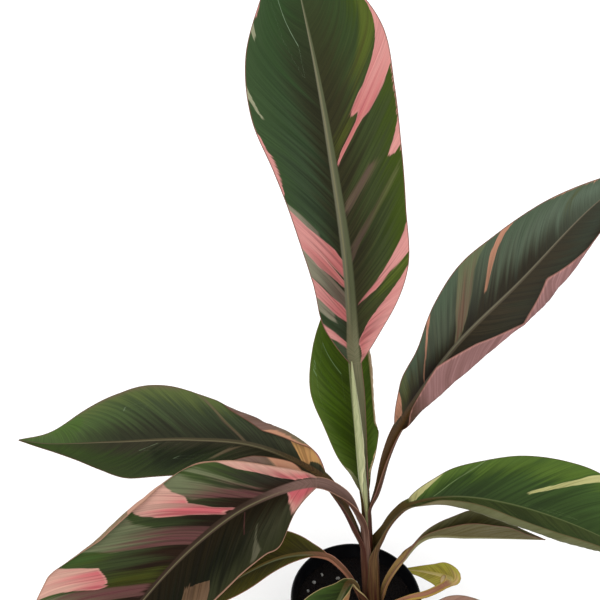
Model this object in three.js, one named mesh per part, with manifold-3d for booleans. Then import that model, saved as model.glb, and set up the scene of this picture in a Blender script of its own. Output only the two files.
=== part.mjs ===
// A young variegated banana plant in a round black nursery pot.
// Millimetres, +Z up. The origin is the middle of the pot's base, on the surface it stands on.
// Each leaf is one closed ribbon: its sheath wraps the stem, narrows to a channelled petiole
// and opens into the blade. The sheaths lie one in another, like a banana's false stem.

import * as THREE from 'three';
import { mergeVertices } from 'three/addons/utils/BufferGeometryUtils.js';
import Module from 'manifold-3d';

const wasm = await Module();
wasm.setup();

// Pot
const potHeight = 95;
const rimRadius = 52.5;
const rimBand = 10.5; // height of the thicker band round the top
const rimStep = 2.2; // how far that band stands out
const footRadius = 37.5;
const potWall = 1.3;
const edgeRound = 1.1;
const potSides = 48;
const drainHoles = 6;
const drainRadius = 3.6;
const drainCircle = 28;
const drainSides = 16;

// Soil
const soilTop = 81;
const soilGap = 0.35; // soil to pot wall and floor
const soilSwell = 0.66; // height of the soft mounds on top
const soilShoulder = 3; // below this much of its top the soil follows the wall
const soilRings = 6;
const crumbCount = 26;
const crumbRadius = [1.1, 2.1];
const crumbRise = 0.35; // how far a crumb's middle stands out, in its own radii
const crumbMargin = 4; // bare soil at the wall and round the stem
const crumbSeed = 7;

// False stem: a straight leaning axis that every sheath is wrapped round
const stemFoot = new THREE.Vector3(14, -3, 66);
const stemHead = new THREE.Vector3(4, 4, 196);
const stemHole = 9.4; // radius of the plain hole in the soil
const sheathFoot = 66.4;
const sheathGap = 0.4; // sheath foot to the floor of the hole

// Leaf sections
const sheathWall = 0.6;
const bladeThickness = 0.7;
const petioleDepth = 2.2; // thickness along the back of the petiole
const tipDepth = 0.9; // the same at the tip of the midrib
const ribLength = 20; // length over which that rib grows above the sheath
const channelAngle = 62; // how far each side of the petiole turns up
const openingLength = 0.12; // share of the blade over which the channel opens
const closingLength = 0.5; // share of the petiole over which the sheath closes to the channel
const pointWidth = 0.9; // half width of the very tip
const creaseLength = 6; // width of the turn where a margin folds over
const creaseAngle = 155; // how far it folds over
const noCrease = [1.3, 1.3];

// azimuth and radius say where a leaf's sheath lies round the stem, and wrap and wrapTop how far it
// reaches round to each side, in degrees. Every list runs from the blade's base to its tip. left and
// right are half widths, seen on the upper face with the tip up. face is the way the upper face looks.
// fold, bend and curl are degrees: the rise from the midrib, the even arch, and the margin's roll,
// which starts at curlFrom of the half width. overLeft and overRight are the shares of the half width
// where a margin folds over on to the upper face, above 1 for not at all. wave is the height of the
// ripples along the margin and waves their number. steps and small set how finely a leaf is divided.
const leaves = [
  {
    name: 'leaf_upright', colour: 0x4b6a3c, azimuth: 90, radius: 1.95, wrap: 150, wrapTop: 62,
    sheathTop: 196, petioleWidth: 4.4, petiole: [[-1, 8, 240], [-5, 12, 290]],
    midrib: [[-8, 15, 314], [-15, 25, 389], [-24, 38, 443], [-34, 51, 493], [-44, 62, 534], [-56, 80, 576]],
    face: [[0.3, -0.9, 0.25], [0.1, -0.97, 0.25], [0.05, -0.97, 0.2]],
    left: [0, 27, 32, 35, 40.5, 45.5, 40, 19, 0], right: [0, 24, 38, 40, 42, 43, 41.5, 23, 0],
    fold: [38, 26, 16, 12], bend: [4, 0, -8], wave: 1, waves: 4,
  },
  {
    name: 'leaf_back', colour: 0x4a6a2a, azimuth: 96, radius: 3.85, wrap: 150, wrapTop: 62,
    sheathTop: 178, petioleWidth: 4, petiole: [],
    midrib: [[3, 14, 198], [-6, 26, 262], [-12, 44, 318], [-16, 70, 366]],
    face: [[0, -0.95, 0.3], [0, -0.95, 0.3]],
    left: [0, 16, 24.5, 31, 26, 12, 0], right: [0, 12, 18, 19, 17, 12, 0],
    fold: [30, 18, 12], bend: [6, 0], overRight: [1.3, 1.2, 0.74, 0.72, 0.7, 0.7, 0.7], wave: 0.8, waves: 3,
  },
  {
    name: 'leaf_right_upper', colour: 0x474a3e, azimuth: -15, radius: 2.87, wrap: 150, wrapTop: 62,
    sheathTop: 187, petioleWidth: 4.4, petiole: [[12, 2, 212], [17, 4, 242]],
    midrib: [[24, 6, 266], [55, 8, 330], [92, 12, 378], [131, 15, 431], [158, 15, 454]],
    face: [[-0.6, -0.6, 0.5], [-0.35, -0.8, 0.45], [-0.3, -0.75, 0.6]],
    left: [0, 15, 19.5, 30, 35.5, 32, 23.5, 11, 0], right: [0, 22, 33.5, 31.5, 25, 29.5, 20, 11, 0],
    fold: [36, 24, 18, 14], bend: [6, 0], curlLeft: [30, 10, 0], curlFrom: 0.6,
    overRight: [0.6, 0.51, 0.47, 0.6, 0.82, 0.6, 0.78, 0.85, 0.9], wave: 0.8, waves: 3, steps: 8,
  },
  {
    name: 'leaf_left_upper', colour: 0x3f5530, azimuth: 188, radius: 5.92, wrap: 150, wrapTop: 62,
    sheathTop: 150, petioleWidth: 4.4, petiole: [[-8, 7, 176], [-18, 10, 196]],
    midrib: [
      [-29, 13, 212], [-75, 25, 230], [-130, 42, 222], [-190, 55, 208], [-250, 64, 198], [-272, 66, 200],
    ],
    face: [[-0.2, -0.35, 0.9], [0, -0.5, 0.85], [0, -0.4, 0.9]],
    left: [0, 21, 27.5, 29, 33, 33, 33.5, 25, 14.5, 6, 0.5],
    right: [0, 21, 26, 27.5, 34.5, 41.5, 43, 37, 26, 10.5, 0.5],
    fold: [34, 20, 12, 8], bend: [6, 0],
    overLeft: [0.5, 0.54, 0.66, 0.92, 1.2, 1.3, 1.3, 1.3, 1.3, 1.3, 1.3],
    overRight: [0.7, 0.64, 0.6, 0.81, 1.1, 1.3, 1.3, 1.3, 1.3, 1.3, 1.3], wave: 0.8, waves: 3, steps: 7,
  },
  {
    name: 'leaf_left_lower', colour: 0xb06a68, azimuth: 212, radius: 4.87, wrap: 150, wrapTop: 64,
    sheathTop: 169, petioleWidth: 4.8, petiole: [[-3, -5, 193], [-15, -7, 214]],
    midrib: [
      [-34, -8, 226], [-80, -16, 214], [-118, -34, 194], [-152, -58, 168], [-190, -90, 126], [-220, -122, 84],
    ],
    face: [[-0.2, -0.5, 0.85], [-0.2, -0.72, 0.66], [-0.2, -0.8, 0.5]],
    left: [0, 20, 41, 42, 42, 40.5, 40, 40, 39, 38, 36, 35, 33, 30, 24, 14, 0],
    right: [0, 12, 24, 35, 45, 50, 52, 52.5, 54.5, 58, 61, 59, 54, 47, 36, 20, 0],
    fold: [26, 14, 10, 8], bend: [4, 0], curlLeft: [40, 0], curlFrom: 0.85,
    overRight: [1.2, 1.1, 0.93, 0.87, 0.88, 0.95, 1.1, 1.2, 1.2], wave: 1, waves: 4,
  },
  {
    name: 'leaf_right_middle', colour: 0x3f5c28, azimuth: 0, radius: 7, wrap: 150, wrapTop: 95,
    sheathTop: 142, petioleWidth: 4.4, petiole: [[19, 1, 168], [27, 1, 186]],
    midrib: [[36, 0, 197], [68, 0, 204], [104, -4, 202], [146, -14, 194], [196, -28, 176], [230, -38, 158]],
    face: [[-0.1, -0.15, 0.95], [0, -0.3, 0.95], [0.1, -0.3, 0.95]],
    left: [0, 17.5, 28, 38, 43.5, 44.5, 37, 21, 0], right: [0, 17, 26, 30, 29, 22, 14, 8, 0],
    fold: [34, 16, 12, 8], bend: [6, 0], curlRight: [150, 150, 150, 120], wave: 0.8, waves: 3,
    steps: 6,
  },
  {
    name: 'leaf_right_lower', colour: 0x8f9274, azimuth: 12, radius: 8.13, wrap: 22, wrapTop: 22,
    sheathTop: 82, petioleWidth: 3.4, petiole: [[23, -3, 114]],
    midrib: [[35, 0, 139], [52, 5, 155], [84, 6, 155], [112, 8, 152], [146, 10, 148]],
    face: [[-0.2, 0.1, 0.9], [0, 0.35, 0.95]],
    left: [0, 3, 13, 20, 18, 8, 0], right: [0, 4.5, 16, 23, 19, 9, 0],
    fold: [70, 62, 56], bend: [-4, -6], wave: 0.8, waves: 3, small: true,
  },
  {
    name: 'leaf_yellow', colour: 0x9e9341, azimuth: -31, radius: 8.13, wrap: 17, wrapTop: 17,
    sheathTop: 84, petioleWidth: 2.2, petiole: [[40, -8, 101], [56, -5, 103]],
    midrib: [[71, 3, 103], [79, 15, 95], [63, 35, 79], [41, 52, 62]],
    face: [[-0.3, -0.5, 0.7], [-0.3, -0.5, 0.7]],
    left: [0, 9, 11, 8, 5, 2.5, 0], right: [0, 9, 11, 7.5, 4.5, 2, 0],
    fold: [20, 12, 8], bend: [6, 0], wave: 0.4, waves: 2, small: true,
  },
  {
    name: 'leaf_low_right', colour: 0x967064, azimuth: -66, radius: 8.13, wrap: 15, wrapTop: 15,
    sheathTop: 84, petioleWidth: 2.6, petiole: [[32, -17, 99]],
    midrib: [[48, -25, 109], [80, -33, 109], [112, -46, 98], [132, -58, 80]],
    face: [[0, -0.1, 1], [0, -0.1, 1]],
    left: [0, 14, 18, 16, 8, 0], right: [0, 16, 20, 16, 8, 0],
    fold: [26, 14, 8], bend: [6, 0], wave: 0.5, waves: 2, small: true,
  },
  {
    name: 'leaf_low_left', colour: 0x5a5424, azimuth: 165, radius: 8.13, wrap: 24, wrapTop: 24,
    sheathTop: 84, petioleWidth: 2, petiole: [[-2, 7, 101], [-12, 11, 115]],
    midrib: [[-24, 14, 124], [-56, 11, 127], [-92, -1, 118], [-124, -16, 100]],
    face: [[-0.1, -0.2, 1], [-0.1, -0.2, 1]],
    left: [0, 6, 12, 15, 11, 0], right: [0, 16, 26, 25, 14, 0],
    fold: [26, 14, 8], bend: [6, 0], wave: 0.5, waves: 2, small: true,
  },
  {
    name: 'leaf_low_front', colour: 0x3a5222, azimuth: 252, radius: 8.13, wrap: 22, wrapTop: 22,
    sheathTop: 82, petioleWidth: 3.2, petiole: [[5, -13, 106]],
    midrib: [[-7, -16, 130], [-16, -32, 130], [-34, -58, 116], [-50, -82, 92]],
    face: [[-0.1, -0.3, 1], [-0.1, -0.3, 1]],
    left: [0, 12, 17, 14, 8, 0], right: [0, 15, 23, 20, 10, 0],
    fold: [30, 14, 8], bend: [6, 0], overLeft: [0.6, 0.45, 0.45, 0.6, 0.7, 0.7],
    wave: 0.5, waves: 2, small: true,
  },
];

// The rolled new leaf that rises from the innermost sheath: radii at its route's points
const rolledRoute = [
  [14, -3, 66.4], [9.6, 0, 124], [4, 3.2, 192], [0, 2.5, 220], [-4.5, 3.2, 263],
  [-8, 5.6, 292], [-11, 7.6, 320],
];
const rolledRadius = [1.45, 1.45, 1.6, 3, 3, 2.1, 0.4];
const rolledSides = 16;
const rolledStations = 26;
const rolledLap = 0.16; // how far the outer edge of the roll stands proud
const rolledTurn = 1.6; // turns that the edge makes from foot to tip
const rolledStart = 0.42; // share of the route where the edge begins to show

// Shared helpers
const { clamp, degToRad, lerp } = THREE.MathUtils;
const ease = (x) => THREE.MathUtils.smoothstep(x, 0, 1);
const vector = (p) => new THREE.Vector3(...p);

function material(colour, roughness) {
  return new THREE.MeshStandardMaterial({ color: colour, roughness, metalness: 0 });
}

// A value between the entries of a list, joined by straight lines
function between(list, q) {
  const place = clamp(q, 0, 1) * (list.length - 1);
  const i = Math.min(Math.floor(place), list.length - 2);
  return lerp(list[i], list[i + 1], place - i);
}

// A value between the entries of a list, joined by a smooth curve
function smoothBetween(list, q) {
  const last = list.length - 1;
  const place = clamp(q, 0, 1) * last;
  const i = Math.min(Math.floor(place), last - 1);
  const w = place - i;
  const [a, b] = [list[i], list[i + 1]];
  const before = i > 0 ? list[i - 1] : 2 * a - b;
  const after = i + 2 <= last ? list[i + 2] : 2 * b - a;
  const slopeA = (b - before) / 2;
  const slopeB = (after - a) / 2;
  const square = -3 * a + 3 * b - 2 * slopeA - slopeB;
  const cube = 2 * a - 2 * b + slopeA + slopeB;
  return a + slopeA * w + square * w * w + cube * w * w * w;
}

function vectorBetween(list, q) {
  return new THREE.Vector3(...[0, 1, 2].map((k) => between(list.map((v) => v[k]), q)));
}

function stemPoint(z) {
  return stemFoot.clone().lerp(stemHead, (z - stemFoot.z) / (stemHead.z - stemFoot.z));
}

// A mesh from rings of points: side walls between neighbouring rings and a flat strip at each end.
// The first half of a ring is the upper face, the second half is the lower face read backwards.
function ribbonGeometry(rings) {
  const count = rings[0].length;
  const half = count / 2;
  const middle = (half - 1) / 2;
  const triangles = [];
  const at = (i, j) => rings[i][j];
  const quad = (a, b, c, d) => triangles.push(a, b, c, a, c, d);
  for (let i = 0; i + 1 < rings.length; i++) {
    for (let j = 0; j < count; j++) {
      const k = (j + 1) % count;
      // every quad is split by the line that leans out from the midrib towards the tip,
      // so both faces have the same lines
      const outward = j < half ? j >= middle : count - 1 - j <= middle;
      if (outward) quad(at(i, j), at(i, k), at(i + 1, k), at(i + 1, j));
      else quad(at(i, k), at(i + 1, k), at(i + 1, j), at(i, j));
    }
  }
  const end = rings.length - 1;
  for (let j = 0; j + 1 < half; j++) {
    const m = count - 1 - j;
    quad(at(0, j), at(0, m), at(0, m - 1), at(0, j + 1));
    quad(at(end, j), at(end, j + 1), at(end, m - 1), at(end, m));
  }
  return fromTriangles(triangles);
}

// The two triangles of the quad between neighbouring rings
function wallQuad(triangles, ring, next, j, k) {
  triangles.push(ring[j], ring[k], next[k], ring[j], next[k], next[j]);
}

function fromTriangles(points) {
  const geometry = new THREE.BufferGeometry();
  const numbers = new Float32Array(points.flatMap((p) => [p.x, p.y, p.z]));
  geometry.setAttribute('position', new THREE.BufferAttribute(numbers, 3));
  return geometry;
}

// Joining and cutting
function solid(geometry) {
  const bare = geometry.clone();
  bare.deleteAttribute('normal');
  bare.deleteAttribute('uv');
  const merged = mergeVertices(bare, 1e-4);
  return new wasm.Manifold(new wasm.Mesh({
    numProp: 3,
    vertProperties: new Float32Array(merged.attributes.position.array),
    triVerts: new Uint32Array(merged.index.array),
  }));
}

function geometryOf(manifold) {
  const mesh = manifold.getMesh();
  const geometry = new THREE.BufferGeometry();
  geometry.setAttribute('position', new THREE.BufferAttribute(new Float32Array(mesh.vertProperties), 3));
  geometry.setIndex(new THREE.BufferAttribute(new Uint32Array(mesh.triVerts), 1));
  return geometry;
}

// The line along a leaf's back, then its petiole and midrib, measured by length
function spineOf(leaf) {
  const angle = degToRad(leaf.azimuth);
  const axis = stemHead.clone().sub(stemFoot).normalize();
  const outward = new THREE.Vector3(Math.cos(angle), Math.sin(angle), 0);
  outward.addScaledVector(axis, -outward.dot(axis)).normalize();
  const straight = [sheathFoot, (sheathFoot + leaf.sheathTop) / 2, leaf.sheathTop - 8, leaf.sheathTop];
  const sheath = straight.map((z) => stemPoint(z).addScaledVector(outward, leaf.radius));
  const points = [...sheath, ...leaf.petiole.map(vector), ...leaf.midrib.map(vector)];
  const curve = new THREE.CatmullRomCurve3(points, false, 'centripetal');
  const steps = 40;
  const fine = curve.getPoints((points.length - 1) * steps);
  const lengths = [0];
  for (let i = 1; i < fine.length; i++) lengths.push(lengths[i - 1] + fine[i].distanceTo(fine[i - 1]));
  const sheathLength = lengths[(sheath.length - 1) * steps];
  const baseLength = lengths[(sheath.length + leaf.petiole.length) * steps];
  const point = (s) => {
    let i = lengths.findIndex((l) => l >= s);
    if (i < 0) i = lengths.length - 1;
    if (i === 0) return fine[0].clone();
    return fine[i - 1].clone().lerp(fine[i], (s - lengths[i - 1]) / (lengths[i] - lengths[i - 1]));
  };
  return { outward, point, sheathLength, baseLength, length: lengths[lengths.length - 1] };
}

// Half width, and the angles of one side's section, at a length s
function sideAt(leaf, side, spine, s) {
  const blade = clamp((s - spine.baseLength) / (spine.length - spine.baseLength), 0, 1);
  const opened = ease(blade / openingLength);
  const along = ease(s / spine.sheathLength);
  const closed = ease((s - spine.sheathLength) / (spine.baseLength - spine.sheathLength) / closingLength);
  let wrap = lerp(leaf.wrap, leaf.wrapTop, along);
  let width = leaf.radius * degToRad(wrap);
  if (s > spine.sheathLength) {
    wrap = lerp(leaf.wrapTop, channelAngle, closed);
    width = lerp(leaf.radius * degToRad(leaf.wrapTop), leaf.petioleWidth, closed);
  }
  const spread = Math.max(smoothBetween(leaf[side], blade), 0);
  const curls = (side === 'left' ? leaf.curlLeft : leaf.curlRight) ?? [0, 0];
  return {
    width: Math.max(width * (1 - opened) + (blade > 0 ? spread : 0), pointWidth),
    fold: opened * degToRad(between(leaf.fold, blade)),
    bend: degToRad(lerp(wrap, between(leaf.bend, blade), opened)),
    curl: opened * degToRad(between(curls, blade)),
    over: between((side === 'left' ? leaf.overLeft : leaf.overRight) ?? noCrease, blade),
    creased: opened * degToRad(creaseAngle),
    blade,
  };
}

// Points across one half of the section, from the midrib out, as sideways, upward and slope
function halfSection(leaf, sign, angles, count) {
  const from = leaf.curlFrom ?? 0.55;
  const rolled = (u) => angles.curl * Math.max(0, (u - from) / (1 - from)) ** 1.5;
  const creased = (u) => angles.creased * ease((u - angles.over) * angles.width / creaseLength);
  const slope = (u) => angles.fold + angles.bend * u + rolled(u) + creased(u);
  const steps = 16;
  const phase = 2 * Math.PI * (leaf.waves * angles.blade + (sign < 0 ? 0.3 : 0));
  const ripple = leaf.wave * Math.sin(phase) * Math.sin(Math.PI * angles.blade);
  const points = [];
  let [across, up] = [0, 0];
  for (let i = 0; i <= count; i++) {
    const u = i / count;
    const tilt = slope(u);
    const lift = ripple * u * u;
    points.push({
      across: across - lift * Math.sin(tilt), up: up + lift * Math.cos(tilt), tilt: i ? tilt : 0,
      reach: u * angles.width,
    });
    for (let k = 0; k < steps; k++) {
      const middle = slope(u + (k + 0.5) / (steps * count));
      across += Math.cos(middle) * angles.width / (steps * count);
      up += Math.sin(middle) * angles.width / (steps * count);
    }
  }
  return points;
}

function leafGeometry(leaf) {
  const spine = spineOf(leaf);
  const [inSheath, inPetiole, inBlade] = leaf.small ? [3, 5, 12] : [4, 7, 18];
  const across = leaf.steps ?? (leaf.small ? 4 : 5);
  const stations = [];
  const span = (from, to, count) => {
    for (let i = 0; i < count; i++) stations.push(lerp(from, to, i / count));
  };
  span(0, spine.sheathLength, inSheath);
  span(spine.sheathLength, spine.baseLength, inPetiole);
  span(spine.baseLength, spine.length, inBlade);
  stations.push(spine.length);

  const rings = stations.map((s) => {
    const centre = spine.point(s);
    const reach = 0.6;
    const ahead = spine.point(Math.min(s + reach, spine.length));
    const tangent = ahead.sub(spine.point(Math.max(s - reach, 0))).normalize();
    const turned = clamp((s - spine.sheathLength) / (spine.baseLength - spine.sheathLength), 0, 1);
    const left = sideAt(leaf, 'left', spine, s);
    const right = sideAt(leaf, 'right', spine, s);
    const facing = vectorBetween(leaf.face, left.blade).normalize();
    const normal = spine.outward.clone().multiplyScalar(turned - 1).addScaledVector(facing, turned);
    normal.addScaledVector(tangent, -normal.dot(tangent)).normalize();
    const sideways = new THREE.Vector3().crossVectors(tangent, normal);

    // thickness: a thin sheet with a rib along its back
    const thin = s < spine.sheathLength ? sheathWall : bladeThickness;
    const grown = ease((s - spine.sheathLength) / ribLength);
    const rib = lerp(sheathWall, lerp(petioleDepth, tipDepth, left.blade ** 0.8), grown);
    const upper = [];
    const lower = [];
    for (const [sign, side] of [[-1, left], [1, right]]) {
      const half = halfSection(leaf, sign, side, across);
      if (sign < 0) half.reverse();
      else half.shift();
      for (const p of half) {
        const top = centre.clone().addScaledVector(sideways, sign * p.across).addScaledVector(normal, p.up);
        const outOf = normal.clone().multiplyScalar(Math.cos(p.tilt));
        outOf.addScaledVector(sideways, -sign * Math.sin(p.tilt));
        const fade = Math.cos(Math.PI / 2 * Math.min(p.reach / (2 * rib), 1));
        const thickness = thin + Math.max(rib - thin, 0) * fade;
        upper.push(top);
        lower.push(top.clone().addScaledVector(outOf, -thickness));
      }
    }
    return [...upper, ...lower.reverse()];
  });
  return ribbonGeometry(rings);
}

// A tapering roll whose outer edge winds slowly round it
function rolledGeometry() {
  const curve = new THREE.CatmullRomCurve3(rolledRoute.map(vector), false, 'centripetal');
  const rings = [];
  for (let i = 0; i <= rolledStations; i++) {
    const q = i / rolledStations;
    const centre = curve.getPoint(q);
    const radius = smoothBetween(rolledRadius, q);
    const shown = ease((q - rolledStart) / (1 - rolledStart) * 6);
    const ring = [];
    for (let j = 0; j < rolledSides; j++) {
      const share = j / rolledSides;
      const angle = 2 * Math.PI * (share + rolledTurn * q);
      const r = radius * (1 - rolledLap * shown * (1 - share));
      ring.push(centre.clone().add(new THREE.Vector3(Math.cos(angle) * r, Math.sin(angle) * r, 0)));
    }
    rings.push(ring);
  }
  const triangles = [];
  for (let i = 0; i < rolledStations; i++) {
    for (let j = 0; j < rolledSides; j++) {
      const k = (j + 1) % rolledSides;
      wallQuad(triangles, rings[i], rings[i + 1], j, k);
    }
  }
  for (let j = 1; j + 1 < rolledSides; j++) {
    triangles.push(rings[0][0], rings[0][j + 1], rings[0][j]);
    triangles.push(rings[rolledStations][0], rings[rolledStations][j], rings[rolledStations][j + 1]);
  }
  return fromTriangles(triangles);
}

// Inner radius of the pot at a height
const wallTop = rimRadius - rimStep;
function innerRadius(z) {
  return lerp(footRadius, wallTop, z / (potHeight - rimBand)) - potWall;
}

function turnedSolid(outline) {
  const points = outline.map(([r, z]) => new THREE.Vector2(r, z));
  const geometry = new THREE.LatheGeometry(points, potSides);
  geometry.rotateX(Math.PI / 2);
  return geometry;
}

function potGeometry() {
  const band = potHeight - rimBand;
  const inside = rimRadius - potWall - 0.6;
  const outline = [
    [0, 0], [footRadius - edgeRound, 0], [footRadius, edgeRound], [wallTop, band],
    [rimRadius - 0.3, band + 0.4], [rimRadius, band + 1.2], [rimRadius, potHeight - edgeRound],
    [rimRadius - 0.8, potHeight], [inside + 0.5, potHeight], [inside, potHeight - edgeRound],
    [inside - 0.3, band + 1.5], [innerRadius(band - 1), band - 1],
    [innerRadius(potWall + edgeRound), potWall + edgeRound], [innerRadius(potWall) - edgeRound, potWall],
    [0, potWall],
  ];
  let pot = solid(turnedSolid(outline));
  for (let i = 0; i < drainHoles; i++) {
    const angle = 2 * Math.PI * (i + 0.5) / drainHoles;
    const drill = new THREE.CylinderGeometry(drainRadius, drainRadius, 6 * potWall, drainSides);
    drill.rotateX(Math.PI / 2);
    drill.translate(Math.cos(angle) * drainCircle, Math.sin(angle) * drainCircle, 0);
    pot = pot.subtract(solid(drill));
  }
  return geometryOf(pot);
}

// Fixed random numbers for the crumbs
function randomFrom(seed) {
  let state = seed;
  return () => {
    state = (state * 1664525 + 1013904223) % 4294967296;
    return state / 4294967296;
  };
}

function soilHeight(x, y) {
  const swell = Math.sin(x * 0.13 + 0.6) * Math.cos(y * 0.11 - 0.4) + 0.6 * Math.sin(x * 0.31 - y * 0.24);
  return soilTop + soilSwell * swell;
}

function soilGeometry() {
  const floor = potWall + soilGap;
  const ringAt = (r, height) => Array.from({ length: potSides }, (_, j) => {
    const angle = 2 * Math.PI * j / potSides;
    const [x, y] = [Math.cos(angle) * r, Math.sin(angle) * r];
    return new THREE.Vector3(x, y, height ?? soilHeight(x, y));
  });
  const top = innerRadius(soilTop) - soilGap;
  const cornerHeight = floor + edgeRound;
  const rings = [
    ringAt(innerRadius(floor) - edgeRound - soilGap, floor),
    ringAt(innerRadius(cornerHeight) - soilGap, cornerHeight),
  ];
  const shoulder = soilTop - soilShoulder;
  rings.push(ringAt(innerRadius(shoulder) - soilGap, shoulder));
  for (let i = 0; i < soilRings; i++) rings.push(ringAt(top * (1 - i / soilRings)));
  const triangles = [];
  for (let i = 0; i + 1 < rings.length; i++) {
    for (let j = 0; j < potSides; j++) {
      const k = (j + 1) % potSides;
      wallQuad(triangles, rings[i], rings[i + 1], j, k);
    }
  }
  const last = rings[rings.length - 1];
  const base = new THREE.Vector3(0, 0, floor);
  const crown = new THREE.Vector3(0, 0, soilHeight(0, 0));
  for (let j = 0; j < potSides; j++) {
    const k = (j + 1) % potSides;
    triangles.push(base, rings[0][k], rings[0][j], crown, last[j], last[k]);
  }
  let soil = solid(fromTriangles(triangles));

  const random = randomFrom(crumbSeed);
  const centre = stemPoint(soilTop);
  let placed = 0;
  while (placed < crumbCount) {
    const size = lerp(...crumbRadius, random());
    const angle = 2 * Math.PI * random();
    const away = Math.sqrt(random()) * (top - crumbMargin);
    const [x, y] = [Math.cos(angle) * away, Math.sin(angle) * away];
    if (Math.hypot(x - centre.x, y - centre.y) < stemHole + crumbMargin) continue;
    const crumb = new THREE.IcosahedronGeometry(size, 0);
    crumb.rotateX(random() * 3);
    crumb.rotateY(random() * 3);
    crumb.translate(x, y, soilHeight(x, y) + size * crumbRise);
    soil = soil.add(solid(crumb));
    placed++;
  }

  // the plain hole that the false stem stands in, along the stem's own lean
  const axis = stemHead.clone().sub(stemFoot).normalize();
  const depth = 2 * (soilTop - sheathFoot) + stemHole;
  const hole = new THREE.CylinderGeometry(stemHole, stemHole, depth, potSides);
  hole.applyQuaternion(new THREE.Quaternion().setFromUnitVectors(new THREE.Vector3(0, 1, 0), axis));
  const middle = stemPoint(sheathFoot).addScaledVector(axis, depth / 2 - sheathGap);
  hole.translate(middle.x, middle.y, middle.z);
  return geometryOf(soil.subtract(solid(hole)));
}

// Assembly
const plant = new THREE.Group();

function addPiece(name, geometry, colour, roughness) {
  const mesh = new THREE.Mesh(geometry, material(colour, roughness));
  mesh.name = name;
  plant.add(mesh);
}

addPiece('pot', potGeometry(), 0x141416, 0.45);
addPiece('soil', soilGeometry(), 0x1d1814, 0.95);
addPiece('leaf_rolled', rolledGeometry(), 0x8d8f6a, 0.4);
for (const leaf of leaves) addPiece(leaf.name, leafGeometry(leaf), leaf.colour, 0.4);

export default plant;
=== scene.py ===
import math

import bmesh
import bpy
import numpy as np
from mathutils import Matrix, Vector


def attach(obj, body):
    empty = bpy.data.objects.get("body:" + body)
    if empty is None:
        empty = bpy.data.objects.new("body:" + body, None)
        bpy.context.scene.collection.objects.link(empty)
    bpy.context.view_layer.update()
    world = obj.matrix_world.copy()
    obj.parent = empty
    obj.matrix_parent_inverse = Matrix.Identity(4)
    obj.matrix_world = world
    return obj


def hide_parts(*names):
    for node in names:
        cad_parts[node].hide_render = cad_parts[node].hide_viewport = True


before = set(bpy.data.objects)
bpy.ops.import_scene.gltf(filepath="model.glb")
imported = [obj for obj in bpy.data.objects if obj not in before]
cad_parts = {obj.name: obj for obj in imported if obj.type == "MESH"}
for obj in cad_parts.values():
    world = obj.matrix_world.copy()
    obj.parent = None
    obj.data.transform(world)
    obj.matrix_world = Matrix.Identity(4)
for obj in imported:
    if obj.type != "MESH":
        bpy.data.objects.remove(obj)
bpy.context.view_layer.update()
print("frame loaded:", len(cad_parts), "nodes")

mm = 0.001


def paint(red, green, blue):
    # a screen colour, 0 to 255, as the linear colour that a shader takes
    parts = [channel / 255 for channel in (red, green, blue)]
    return tuple(p / 12.92 if p <= 0.04045 else ((p + 0.055) / 1.055) ** 2.4 for p in parts) + (1.0,)


class Wire:
    # a node's output; reckoning with it adds nodes to the same tree
    def __init__(self, bench, socket):
        self.bench, self.socket = bench, socket

    def __add__(self, other):
        return self.bench.sum("ADD", self, other)

    def __sub__(self, other):
        return self.bench.sum("SUBTRACT", self, other)

    def __mul__(self, other):
        return self.bench.sum("MULTIPLY", self, other)

    def __truediv__(self, other):
        return self.bench.sum("DIVIDE", self, other)

    def __abs__(self):
        return self.bench.sum("ABSOLUTE", self)


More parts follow.
